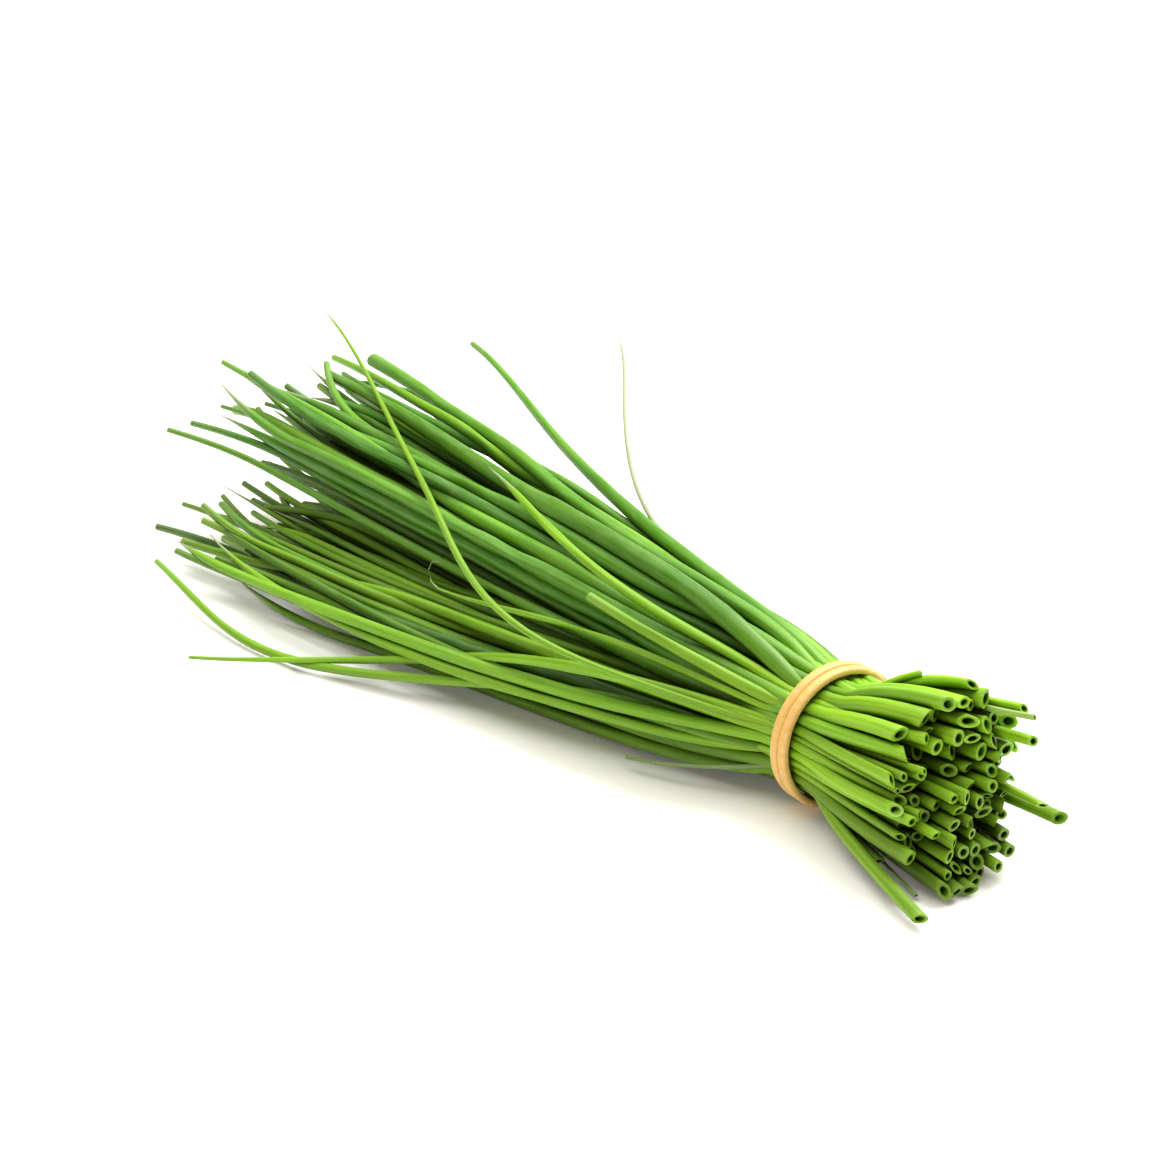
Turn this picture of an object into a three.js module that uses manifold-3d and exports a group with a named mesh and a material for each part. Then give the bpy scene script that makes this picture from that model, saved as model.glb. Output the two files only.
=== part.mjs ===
// Chive bunch: long hollow leaves held by a rubber band wound twice, lying on its side.
// Millimetres, +Z up. The leaves run along X: cut ends at +X, tips at -X, near side at -Y.
// While it grows, the bunch has the middle of the rubber band at x = 0, y = 0.
import * as THREE from 'three';
import { mergeVertices } from 'three/addons/utils/BufferGeometryUtils.js';
import Module from 'manifold-3d';

const wasm = await Module();
wasm.setup();

// Driving dimensions of the bundle
const BUNDLE_RADIUS = 12.3;     // of the leaves under the band
const BAND_GAP = 0.3;           // between the leaves and the band
const STRAND_WIDTH = 2.1;       // of the band's rubber, along X
const STRAND_THICK = 1.3;
const STRAND_PITCH = 2.3;       // from one turn of the band to the next
const STRAND_ROUNDING = 0.6;    // 1 is an ellipse, and less is squarer
const FOOT_PRESS = 0.25;        // how much of the band is pressed flat where it lies
const BAND_OUTSIDE = BUNDLE_RADIUS + BAND_GAP + STRAND_THICK;
const AXIS_Z = BAND_OUTSIDE - FOOT_PRESS;
const BAND_FLOOR = AXIS_Z - BUNDLE_RADIUS;
const BAND_ZONE = 7;            // half the length that the band holds round
const HELD_DEPTH = 1.3;         // thin leaves too are this deep in the bundle there
const CROSSING_LIFT = 1.4;      // how far out one turn passes over the other
const CROSSING_SHARE = 0.33;    // how much of a lane's width it is lifted for
const CROSSING_EDGE = 8;        // how sharply that lift begins
const LANE_CHANGE = 8;          // how sharply the turns change lanes

// Driving dimensions of the leaves. A leaf's place in the bundle's section is u across, from -1
// at the near side to 1 at the far side, and v up, from -1 at the underside to 1 at the top.
const GROWN_LEAVES = 75;
const SECTION_FILL = 0.97;      // how far out in the section the grown leaves start
const BAND_FILL = 0.9;          // and how far out all leaves pass under the band
const LEAF_RADIUS = 1.22;
const STOUT_EXTRA = 0.34;       // leaves high in the upper group are stouter
const STOUT_FROM = 0.35;
const THINNEST = 0.36;
const SHORT_SHARE = 0.1;        // of the leaves end early
const SHORTEST_CUT_OFF = 20;    // how early at least
const SHORT_SPREAD = 60;        // and how much more at most
const FULL_CUT = 36;            // where the front of the bunch has its full spread
const FULL_TIP = 200;           // and where its back has
const HELD_STRAIGHT = 4;        // from the band's middle; a leaf bends only past that
const BACK_CURVE = 1.1;         // 1 is a straight way to the tip, and more bends it late
const FRONT_CURVE = 0.9;
const TURN_CURVE = 5;

// A leaf's radius on its way from the cut end to the tip, as [share of the way, share of its radius]
const LEAF_FORM = [[0, 1.12], [0.15, 0.98], [0.45, 1.1], [0.8, 0.84]];
const TIP_TAPER = 0.55;
const SQUEEZE = 0.12;           // how much slimmer it is under the band
const SQUEEZE_REACH = 9;

// The cut ends: how far they reach, and how they spread from the band on
const CUT_REACH = 37;
const CUT_LEAN = -2.5;          // far leaves are shorter
const CUT_SLANT = -5;           // and so are high ones, where these are below 0
const NEAR_FROM = -0.4;         // leaves nearer than this stand back, by NEAR_SHORTER
const NEAR_SHORTER = 7;
const DENT_AT = [-0.25, 0.45];  // there the cut ends stand back in a dark dent
const DENT_SPREAD = 0.25;
const DENT_DEPTH = 12;
const SPREAD_SIDE = 0.14;
const SPREAD_UP = 0.36;
const SPREAD_LIFT = 2;
const SPREAD_SHEAR = 4.5;       // high leaves lean to the far side, and low ones to the near side

// How much one leaf differs from the next
const SCATTER = {
  side: 0.18, tipZ: 4, bowY: 8, weaveY: 4, weaveZ: 2, turnY: 9, turnZ: 5,
  cut: 3.6, spread: 0.18, splay: 2.4, radius: 0.34, taper: 0.18,
};

// The two groups in which the leaves part on their way to the tips, with a dark gap between them
const LOW_LEAN = 0.3;
const LOW_LEVEL = -0.1;
const UPPER = {
  tipY: -6, fanY: 20, tipZ: 21, leanZ: 2, riseZ: 9, scatterY: 8,
  reach: 187, slant: -4, scatterReach: 14, bowY: 0, bowZ: 0, scatterBowZ: 4,
};
const LOWER = {
  tipY: -22, fanY: 28, tipZ: 9, leanZ: 4, riseZ: 4, scatterY: 10,
  reach: 172, slant: 10, scatterReach: 18, bowY: -6, bowZ: 0, scatterBowZ: 2,
};

// Leaves that stand out by themselves. "at" is the place in the bundle's section; "way" is the
// route from the band to the tip; "front" is the route to the cut end.
const OWN_LEAVES = [
  {
    at: [0.1, 0.92], radius: 1.25, taper: 0.6, cut: 30,
    way: [
      [-35, 4, 28], [-75, 11, 28], [-91, 15, 28], [-124, 25, 27], [-146, 34, 26], [-187, 49, 26],
    ],
  },
  {
    at: [-0.12, 0.9], radius: 1.55, taper: 1.1, cut: 27,
    way: [
      [-30, 0, 28], [-57, 0, 30], [-87, 3, 30], [-113, 9, 29], [-142, 14, 28.5], [-162, 17, 28],
      [-186, 19, 28.5],
    ],
  },
  {
    at: [-0.32, 0.84], radius: 1.8, taper: 0.55, cut: 28,
    way: [[-27, -5, 30], [-53, -5, 31], [-77, -5, 31], [-98, -2, 30], [-134, 2, 29], [-185, 6, 28]],
  },
  {
    at: [-0.5, 0.75], radius: 0.9, taper: 0.5, cut: 28,
    way: [
      [-40, -15, 29], [-59, -14, 30], [-72, -11, 31], [-84, -10, 32], [-98, -4, 32],
      [-108, -1, 33],
    ],
  },
  {
    at: [-0.75, -0.35], radius: 0.95, taper: 0.65, cut: 33,
    way: [
      [-31, -20, 14], [-57, -27, 9], [-71, -32, 6], [-83, -39, 4], [-96, -48, 1.5],
      [-112, -56, 1], [-122, -58, 1], [-143, -54, 2], [-165, -50, 4],
    ],
  },
  {
    at: [-0.86, 0], radius: 1.15, taper: 0.7, cut: 30,
    way: [
      [-19, -18, 18], [-56, -24, 15], [-79, -25, 13], [-102, -29, 11], [-126, -33, 9],
      [-150, -39, 6], [-167, -46, 5],
    ],
  },
  {
    at: [-0.8, 0.25], radius: 0.95, taper: 0.4, cut: 30,
    way: [
      [-19, -20, 20], [-37, -24, 19], [-56, -30, 17], [-69, -31, 13], [-86, -35, 6],
      [-94, -39, 3], [-102, -44, 1.2], [-111, -50, 0.6], [-117, -61, 0.5], [-123, -80, 0.5],
    ],
  },
  {
    at: [-0.88, 0.12], radius: 0.66, taper: 0.4, cut: 30,
    way: [
      [-19, -21, 20], [-45, -30, 20], [-55, -34, 21], [-71, -33, 24], [-80, -31, 26],
      [-91, -25, 29], [-112, -16, 30], [-138, -6, 30], [-169, 7, 31], [-210, 22, 34],
    ],
  },
  {
    at: [-0.62, 0.42], radius: 0.75, taper: 0.5, cut: 33,
    way: [
      [-23, -18, 23], [-45, -21, 24], [-64, -25, 22], [-72, -27, 20], [-81, -28, 18],
      [-90, -29, 17],
    ],
  },
  {
    at: [-0.5, 0.72], radius: 1.15, taper: 0.8, cut: 30,
    way: [[-24, -18, 26], [-37, -20, 27], [-52, -18, 28]],
  },
  {
    at: [0.45, 0.8], radius: 0.5, taper: 0.7, cut: 22,
    way: [
      [-40, 6, 25], [-70, 10, 27], [-80, 13, 29], [-91, 20, 30], [-103, 28, 31], [-120, 40, 32],
      [-142, 58, 34], [-153, 70, 35],
    ],
  },
  {
    at: [-0.55, -0.8], radius: 0.55, taper: 0.7, cut: 38,
    way: [[-7, -15, 4], [-19, -21, 3], [-26, -24, 2], [-32, -29, 2]],
  },
  {
    at: [-0.8, -0.25], radius: 1.05, taper: 0.65, cut: 31,
    way: [
      [-30, -19, 11], [-60, -28, 8], [-97, -36, 6], [-123, -39, 6], [-144, -44, 6],
      [-163, -49, 6],
    ],
  },
  {
    at: [-0.72, -0.6], radius: 1.25, taper: 0.6, cut: 46,
    way: [[-26, -17, 3], [-55, -22, 1.3], [-85, -29, 1.2], [-118, -38, 1.2], [-142, -49, 1.5]],
    front: [[25, -15, 5], [46, -20, 1.3]],
  },
  {
    at: [0.8, -0.3], radius: 1.2, taper: 0.6, cut: 46,
    way: [[-90, 8, 10], [-185, 4, 8]],
    front: [[20, 11, 11], [46, 14, 12]],
  },
  {
    at: [0.72, -0.62], radius: 1.25, taper: 0.6, cut: 40,
    way: [[-40, 9, 5], [-75, 14, 1.3], [-150, 21, 1.1], [-188, 25, 1.6]],
  },
  {
    at: [0.35, -0.88], radius: 1.25, taper: 0.6, cut: 41,
    way: [[-40, -2, 2.5], [-96, -4, 1.6], [-140, -9, 2], [-177, -18, 5]],
  },
  {
    at: [0.58, -0.72], radius: 1.15, taper: 0.6, cut: 42,
    way: [[-40, 4, 3], [-100, 4, 3], [-150, -2, 4], [-184, -9, 7]],
  },
  {
    at: [-0.3, -0.1], radius: 1.3, taper: 0.6, cut: 34,
    way: [[-60, -8, 15], [-120, -13, 15], [-178, -18, 18]],
  },
  {
    at: [0.1, -0.15], radius: 1.3, taper: 0.6, cut: 35,
    way: [[-60, -3, 15], [-120, -8, 14], [-177, -19, 15]],
  },
  {
    at: [-0.1, -0.3], radius: 1.2, taper: 0.6, cut: 36,
    way: [[-60, -6, 12], [-120, -12, 11], [-166, -20, 12]],
  },
  {
    at: [-0.62, -0.7], radius: 1.1, taper: 0.6, cut: 28,
    way: [[-60, -20, 3], [-110, -26, 2], [-150, -36, 2]],
    front: [[14, -12.5, 4.5], [28, -14.5, 2.8]],
  },
  {
    at: [0.75, 0], radius: 0.95, taper: 0.6, cut: 45,
    way: [[-100, 10, 14], [-180, 12, 12]],
    front: [[20, 10.5, 14], [45, 10.5, 15]],
  },
  {
    at: [0.5, 0.5], radius: 1.15, taper: 0.6, cut: 41,
    way: [[-100, 10, 25], [-172, 16, 26]],
    front: [[18, 9, 22], [38, 10, 25.5], [50, 11, 28]],
  },
  {
    at: [0.3, 0.88], radius: 1.35, taper: 0.6, cut: 29,
    way: [[-100, 8, 28], [-200, 16, 27]],
    front: [[12, 5, 29], [29, 7, 34], [40, 8, 37]],
  },
  {
    at: [0.65, 0.65], radius: 1, taper: 0.6, cut: 38,
    way: [[-100, 12, 26], [-196, 22, 25]],
    front: [[18, 10, 26], [38, 11, 31], [50, 11, 34]],
  },
  {
    at: [0.35, 0.6], radius: 0.6, taper: 0.6, cut: 42,
    way: [[-100, 6, 24], [-190, 10, 24]],
    front: [[20, 8, 26], [42, 10, 31], [54, 11, 34]],
  },
  {
    at: [-0.05, 0.95], radius: 0.7, taper: 0.55, cut: 17,
    way: [[-60, -2, 28], [-170, 4, 28]],
    front: [[6, -2, 28], [12, 3, 32], [24, 11, 38]],
  },
];

// Cross-sections of the whole bunch, at which every leaf's centre is known
const STATION_STEP = 6;
const STATION_COUNT = 47;
const FIRST_STATION = 54;
const STATIONS = Array.from({ length: STATION_COUNT }, (_, i) => FIRST_STATION - STATION_STEP * i);

// Settling: the leaves push each other apart and straighten, less and less
const SETTLE_ROUNDS = 120;
const PUSH_SHARE = 0.34;
const STRAIGHTEN_SHARE = 0.5;
const RETURN_SHARE = 0.06;
const LAST_SMOOTHINGS = 3;
const TOUCH = 0.02;             // room left between settled leaves

// Facets
const LEAF_SIDES = 4;
const SLIMMEST_GROWN = 1.11;    // slimmer grown leaves only settle the others, and have no solid
const SLIMNESS = 0.93;          // so that leaves that only touch aren't joined all along
const THINNEST_SOLID = 0.43;    // from centre to corner, which keeps the flats 0.6 mm apart
const BORE_DEPTH = 3;
const WALL = 0.82;              // at the corners, which is 0.6 mm at the flats
const SMALLEST_BORE = 0.36;
const GROWN_RING_STEP = 8;      // stations from ring to ring of a leaf
const OWN_RING_STEP = 4;
const END_ROOM = 4;             // no ring is closer to a leaf's end
const PRESS = 0.25;             // what is this close to the surface lies on it
const MERGE = 1e-4;             // points this close are one
const SLIVER = 0.004;           // triangles lower than this are cut the other way
const SLIVER_PASSES = 6;
const CORE_RADIUS = BUNDLE_RADIUS - 1.5;
const CORE_FROM = -22;
const CORE_TO = 20;
const CORE_SIDES = 16;
const TURN_SEGMENTS = 48;
const BAND_SIDES = 8;

// Seeded random draws
const SEED = 7;
let drawState = SEED;
function drawUnit() {
  drawState = (drawState * 48271) % 2147483647;
  return drawState / 2147483647;
}
function drawAbout(spread) {
  return ((drawUnit() + drawUnit() + drawUnit() - 1.5) / 1.5) * spread;
}

// Value at x of a line through points given as [x, value] in rising x
function lineAt(points, x) {
  if (x <= points[0][0]) return points[0][1];
  const last = points.length - 1;
  if (x >= points[last][0]) return points[last][1];
  let i = 1;
  while (points[i][0] < x) i += 1;
  const [x0, y0] = points[i - 1];
  const [x1, y1] = points[i];
  return y0 + ((y1 - y0) * (x - x0)) / (x1 - x0);
}

// A leaf is fullest in its middle, and a little squeezed under the band
function radiusAt(leaf, x) {
  const along = Math.min(Math.max((leaf.cut - x) / (leaf.cut - leaf.tip), 0), 1);
  const form = lineAt([...LEAF_FORM, [1, leaf.taper]], along);
  const squeezed = 1 - SQUEEZE * Math.exp(-((x / SQUEEZE_REACH) ** 2));
  return Math.max(leaf.radius * form * squeezed, THINNEST);
}

// What the rule draws for a leaf at that place in the section
function drawnTraits(u, v) {
  const isLow = v + LOW_LEAN * u < LOW_LEVEL + drawAbout(SCATTER.side);
  const group = isLow ? LOWER : UPPER;
  const tipY = group.tipY + group.fanY * u + drawAbout(group.scatterY);
  const tipZ = group.tipZ + group.leanZ * u + group.riseZ * v + drawAbout(SCATTER.tipZ);
  let reach = group.reach + group.slant * u + drawAbout(group.scatterReach);
  const bowY = group.bowY * (1 - u) + drawAbout(SCATTER.bowY);
  const bowZ = group.bowZ + drawAbout(group.scatterBowZ);
  const weaveY = drawAbout(SCATTER.weaveY);
  const weaveZ = drawAbout(SCATTER.weaveZ);
  const turnY = drawAbout(SCATTER.turnY);
  const turnZ = drawAbout(SCATTER.turnZ);
  if (drawUnit() < SHORT_SHARE) reach -= SHORTEST_CUT_OFF + SHORT_SPREAD * drawUnit();
  let cut = CUT_REACH + CUT_LEAN * u + CUT_SLANT * v + drawAbout(SCATTER.cut);
  if (u < NEAR_FROM) cut -= NEAR_SHORTER;
  const fromDent = Math.hypot(u - DENT_AT[0], v - DENT_AT[1]);
  cut -= DENT_DEPTH * Math.exp(-((fromDent / DENT_SPREAD) ** 2));
  const spread = drawAbout(SCATTER.spread);
  const splayY = drawAbout(SCATTER.splay);
  const splayZ = drawAbout(SCATTER.splay);
  const stout = v > STOUT_FROM && !isLow ? STOUT_EXTRA : 0;
  const radius = LEAF_RADIUS + drawAbout(SCATTER.radius) + stout;
  const taper = TIP_TAPER + drawAbout(SCATTER.taper);
  return {
    tip: -reach, tipY, tipZ, bowY, bowZ, weaveY, weaveZ, turnY, turnZ,
    cut, spread, splayY, splayZ, radius, taper,
  };
}

// One leaf before settling. Grown leaves fill the section in a sunflower spiral.
function growLeaf(index) {
  const own = OWN_LEAVES[index - GROWN_LEAVES];
  const spiralOut = SECTION_FILL * Math.sqrt((index + 0.5) / GROWN_LEAVES);
  const spiralTurn = index * Math.PI * (3 - Math.sqrt(5));
  const u = own ? own.at[0] : spiralOut * Math.cos(spiralTurn);
  const v = own ? own.at[1] : spiralOut * Math.sin(spiralTurn);
  const drawn = drawnTraits(u, v);

  const leaf = own
    ? { cut: own.cut, tip: own.way.at(-1)[0], radius: own.radius, taper: own.taper }
    : { cut: drawn.cut, tip: drawn.tip, radius: drawn.radius, taper: drawn.taper };
  leaf.isOwn = Boolean(own);
  leaf.y = new Float64Array(STATION_COUNT);
  leaf.z = new Float64Array(STATION_COUNT);

  const bandY = BAND_FILL * BUNDLE_RADIUS * u;
  const bandZ = AXIS_Z + BAND_FILL * BUNDLE_RADIUS * v;
  const route = own ? [[0, bandY, bandZ], ...own.way, ...(own.front ?? [])] : [];
  route.sort((a, b) => a[0] - b[0]);
  STATIONS.forEach((x, i) => {
    const back = Math.max(-x - HELD_STRAIGHT, 0) / (FULL_TIP - HELD_STRAIGHT);
    const front = (Math.max(x - HELD_STRAIGHT, 0) / (FULL_CUT - HELD_STRAIGHT)) ** FRONT_CURVE;
    const bow = Math.sin(Math.PI * Math.min(back, 1));
    const weave = Math.sin(2 * Math.PI * Math.min(back, 1));
    const late = back ** BACK_CURVE;
    const last = back ** TURN_CURVE;
    if (own) {
      leaf.y[i] = lineAt(route.map(p => [p[0], p[1]]), x);
      leaf.z[i] = lineAt(route.map(p => [p[0], p[2]]), x);
    } else {
      leaf.y[i] = bandY + (drawn.tipY - bandY) * late
        + drawn.bowY * bow + drawn.weaveY * weave + drawn.turnY * last;
      leaf.z[i] = bandZ + (drawn.tipZ - bandZ) * late
        + drawn.bowZ * bow + drawn.weaveZ * weave + drawn.turnZ * last;
    }
    if (!own?.front) {
      const side = BUNDLE_RADIUS * u * (SPREAD_SIDE + drawn.spread);
      const up = BUNDLE_RADIUS * v * (SPREAD_UP + drawn.spread);
      leaf.y[i] += front * (side + SPREAD_SHEAR * v + drawn.splayY);
      leaf.z[i] += front * (up + SPREAD_LIFT + drawn.splayZ);
    }
  });
  return leaf;
}

// Keeps a leaf above the surface, and inside the band's circle where the band holds it
function holdLeaf(leaf, rings) {
  STATIONS.forEach((x, i) => {
    const radius = rings[i];
    if (Math.abs(x) < BAND_ZONE) {
      const fromAxis = Math.hypot(leaf.y[i], leaf.z[i] - AXIS_Z);
      const room = BUNDLE_RADIUS - Math.max(radius, HELD_DEPTH);
      const keep = Math.min(1, room / Math.max(fromAxis, 1e-9));
      leaf.y[i] *= keep;
      leaf.z[i] = AXIS_Z + (leaf.z[i] - AXIS_Z) * keep;
    }
    const floor = Math.abs(x) < BAND_ZONE ? BAND_FLOOR + radius : radius;
    leaf.z[i] = Math.max(leaf.z[i], floor);
  });
}

function smoothed(values, share) {
  return values.map((value, i) => {
    if (i === 0 || i === values.length - 1) return value;
    return value + share * ((values[i - 1] + values[i + 1]) / 2 - value);
  });
}

// Pushes each overlapping pair of leaves apart at one station
function pushApart(leaves, rings, i) {
  const x = STATIONS[i];
  const there = leaves.filter(
    leaf => x <= leaf.cut + STATION_STEP && x >= leaf.tip - STATION_STEP);
  const moves = there.map(() => [0, 0]);
  there.forEach((one, a) => {
    for (let b = a + 1; b < there.length; b += 1) {
      const other = there[b];
      const dy = one.y[i] - other.y[i];
      const dz = one.z[i] - other.z[i];
      const apart = Math.hypot(dy, dz) + 1e-9;
      const over = rings.get(one)[i] + rings.get(other)[i] + TOUCH - apart;
      if (over > 0) {
        const share = (PUSH_SHARE * over) / apart;
        moves[a][0] += share * dy;
        moves[a][1] += share * dz;
        moves[b][0] -= share * dy;
        moves[b][1] -= share * dz;
      }
    }
  });
  there.forEach((leaf, a) => {
    leaf.y[i] += moves[a][0];
    leaf.z[i] += moves[a][1];
  });
}

function settle(leaves) {
  const rings = new Map(leaves.map(leaf => [leaf, STATIONS.map(x => radiusAt(leaf, x))]));
  const wanted = new Map(leaves.map(leaf => [leaf, { y: leaf.y.slice(), z: leaf.z.slice() }]));
  for (let round = 0; round < SETTLE_ROUNDS; round += 1) {
    const fade = 1 - round / SETTLE_ROUNDS;
    for (const leaf of leaves) {
      const aim = wanted.get(leaf);
      leaf.y = leaf.y.map((y, i) => y + RETURN_SHARE * fade * (aim.y[i] - y));
      leaf.z = leaf.z.map((z, i) => z + RETURN_SHARE * fade * (aim.z[i] - z));
    }
    STATIONS.forEach((_, i) => pushApart(leaves, rings, i));
    for (const leaf of leaves) {
      leaf.y = smoothed(leaf.y, STRAIGHTEN_SHARE * fade);
      leaf.z = smoothed(leaf.z, STRAIGHTEN_SHARE * fade);
      holdLeaf(leaf, rings.get(leaf));
    }
  }
  for (let round = 0; round < LAST_SMOOTHINGS; round += 1) {
    for (const leaf of leaves) {
      leaf.y = smoothed(leaf.y, 0.5);
      leaf.z = smoothed(leaf.z, 0.5);
      holdLeaf(leaf, rings.get(leaf));
    }
  }
}

function growBunch() {
  const leaves = [];
  for (let i = 0; i < GROWN_LEAVES + OWN_LEAVES.length; i += 1) leaves.push(growLeaf(i));
  settle(leaves);
  return leaves;
}

// Centre of a leaf at any x, from its stations
function centreAt(leaf, x) {
  const place = (FIRST_STATION - x) / STATION_STEP;
  const i = Math.min(Math.floor(place), STATION_COUNT - 2);
  const part = place - i;
  return new THREE.Vector3(
    x,
    leaf.y[i] + (leaf.y[i + 1] - leaf.y[i]) * part,
    leaf.z[i] + (leaf.z[i + 1] - leaf.z[i]) * part,
  );
}

// Ring places of a leaf, from its cut end to its tip
function ringsOf(leaf) {
  const step = leaf.isOwn ? OWN_RING_STEP : GROWN_RING_STEP;
  const between = STATIONS.filter((x, i) => {
    const isBand = Math.abs(x) === STATION_STEP;
    const isOnGrid = i % step === 0 && Math.abs(x) > STATION_STEP;
    return (isBand || isOnGrid) && x < leaf.cut - END_ROOM && x > leaf.tip + END_ROOM;
  });
  return [leaf.cut, ...between, leaf.tip];
}

// A straight leaf is turned on the lathe along Y, one unit from ring to ring, with a bore in
// its cut end. Each of its points is then carried to the leaf's route.
function leafGeometry(leaf) {
  const rings = ringsOf(leaf);
  const centres = rings.map(x => centreAt(leaf, x));
  const last = rings.length - 1;
  const bore = (leaf.radius - WALL) / leaf.radius;
  const boreEnd = BORE_DEPTH / centres[0].distanceTo(centres[1]);
  const profile = leaf.radius - WALL > SMALLEST_BORE
    ? [[0, boreEnd], [bore, boreEnd], [bore, 0]]
    : [[0, 0]];
  rings.forEach((_, i) => profile.push([1, i]));
  profile.push([0, last]);
  const points = profile.map(([across, along]) => new THREE.Vector2(across, along));
  const geometry = new THREE.LatheGeometry(points, LEAF_SIDES, Math.PI);

  const position = geometry.attributes.position;
  for (let i = 0; i < position.count; i += 1) {
    const along = position.getY(i);
    const from = Math.min(Math.floor(along), last - 1);
    const centre = centres[from].clone().lerp(centres[from + 1], along - from);
    const ahead = centres[Math.min(Math.round(along) + 1, last)];
    const behind = centres[Math.max(Math.round(along) - 1, 0)];
    const heading = ahead.clone().sub(behind).normalize();
    const side = heading.clone().cross(new THREE.Vector3(0, 0, 1)).normalize();
    const up = side.clone().cross(heading);
    const radius = Math.max(SLIMNESS * radiusAt(leaf, centre.x), THINNEST_SOLID);
    centre.addScaledVector(side, radius * position.getX(i));
    centre.addScaledVector(up, radius * position.getZ(i));
    position.setXYZ(i, centre.x, centre.y, centre.z < PRESS ? 0 : centre.z);
  }
  return geometry;
}

function closedGeometry(geometry) {
  geometry.deleteAttribute('normal');
  geometry.deleteAttribute('uv');
  const merged = mergeVertices(geometry, MERGE);
  const index = Array.from(merged.index.array);
  const kept = [];
  for (let i = 0; i < index.length; i += 3) {
    const [a, b, c] = index.slice(i, i + 3);
    if (a !== b && b !== c && c !== a) kept.push(a, b, c);
  }
  merged.setIndex(kept);
  return merged;
}

function solidOf(geometry) {
  const closed = closedGeometry(geometry);
  return new wasm.Manifold(new wasm.Mesh({
    numProp: 3,
    vertProperties: new Float32Array(closed.attributes.position.array),
    triVerts: new Uint32Array(closed.index.array),
  }));
}

function geometryOf(solid) {
  const mesh = solid.getMesh();
  const geometry = new THREE.BufferGeometry();
  geometry.setAttribute('position', new THREE.BufferAttribute(mesh.vertProperties, 3));
  geometry.setIndex(new THREE.BufferAttribute(mesh.triVerts, 1));
  return geometry;
}

function cornersOf(geometry) {
  const { position } = geometry.attributes;
  return Array.from({ length: position.count }, (_, i) =>
    new THREE.Vector3().fromBufferAttribute(position, i));
}

function heightOf(a, b, c) {
  const long = Math.max(a.distanceTo(b), b.distanceTo(c), c.distanceTo(a));
  const doubleArea = b.clone().sub(a).cross(c.clone().sub(a)).length();
  return doubleArea / Math.max(long, 1e-9);
}

// Joining leaves some triangles with almost no height. The long side of each is shared with
// another triangle, and the two are cut along their other diagonal in its place.
function withoutSlivers(geometry) {
  const corners = cornersOf(geometry);
  const index = Array.from(geometry.index.array);
  const faceAt = new Map();
  const key = (a, b) => a * corners.length + b;
  const height = (a, b, c) => heightOf(corners[a], corners[b], corners[c]);
  const length = (a, b) => corners[a].distanceTo(corners[b]);

  function setFace(face, a, b, c) {
    [a, b, c].forEach((corner, i) => { index[3 * face + i] = corner; });
    faceAt.set(key(a, b), face);
    faceAt.set(key(b, c), face);
    faceAt.set(key(c, a), face);
  }

  function cutOtherWay(face) {
    let [a, b, c] = index.slice(3 * face, 3 * face + 3);
    while (length(a, b) < length(b, c) || length(a, b) < length(c, a)) [a, b, c] = [b, c, a];
    const before = height(a, b, c);
    if (before >= SLIVER) return;
    const other = faceAt.get(key(b, a));
    const d = index.slice(3 * other, 3 * other + 3).find(corner => corner !== a && corner !== b);
    if (faceAt.has(key(c, d)) || faceAt.has(key(d, c))) return;
    if (Math.min(height(c, a, d), height(d, b, c)) <= before) return;
    faceAt.delete(key(a, b));
    faceAt.delete(key(b, a));
    setFace(face, c, a, d);
    setFace(other, d, b, c);
  }

  for (let face = 0; face < index.length / 3; face += 1) {
    setFace(face, ...index.slice(3 * face, 3 * face + 3));
  }
  for (let pass = 0; pass < SLIVER_PASSES; pass += 1) {
    for (let face = 0; face < index.length / 3; face += 1) cutOtherWay(face);
  }
  geometry.setIndex(index);
  return geometry;
}

// The pressed heart of the bundle, which the inner leaves leave at its two ends
function coreGeometry() {
  const length = CORE_TO - CORE_FROM;
  const geometry = new THREE.CylinderGeometry(CORE_RADIUS, CORE_RADIUS, length, CORE_SIDES);
  geometry.rotateZ(Math.PI / 2);
  geometry.translate((CORE_FROM + CORE_TO) / 2, 0, AXIS_Z);
  return geometry;
}

// The leaves in one body; hollows that the joining seals are filled, and loose scraps dropped
function leavesGeometry() {
  const leaves = growBunch().filter(leaf => leaf.isOwn || leaf.radius > SLIMMEST_GROWN);
  let joined = solidOf(coreGeometry());
  for (const leaf of leaves) joined = joined.add(solidOf(leafGeometry(leaf)));
  const bodies = joined.decompose();
  bodies.sort((a, b) => b.volume() - a.volume());
  return withoutSlivers(geometryOf(bodies[0]));
}

// Half a strand's section, more square than an ellipse
function squared(wave) {
  return Math.sign(wave) * Math.abs(wave) ** STRAND_ROUNDING;
}

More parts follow.
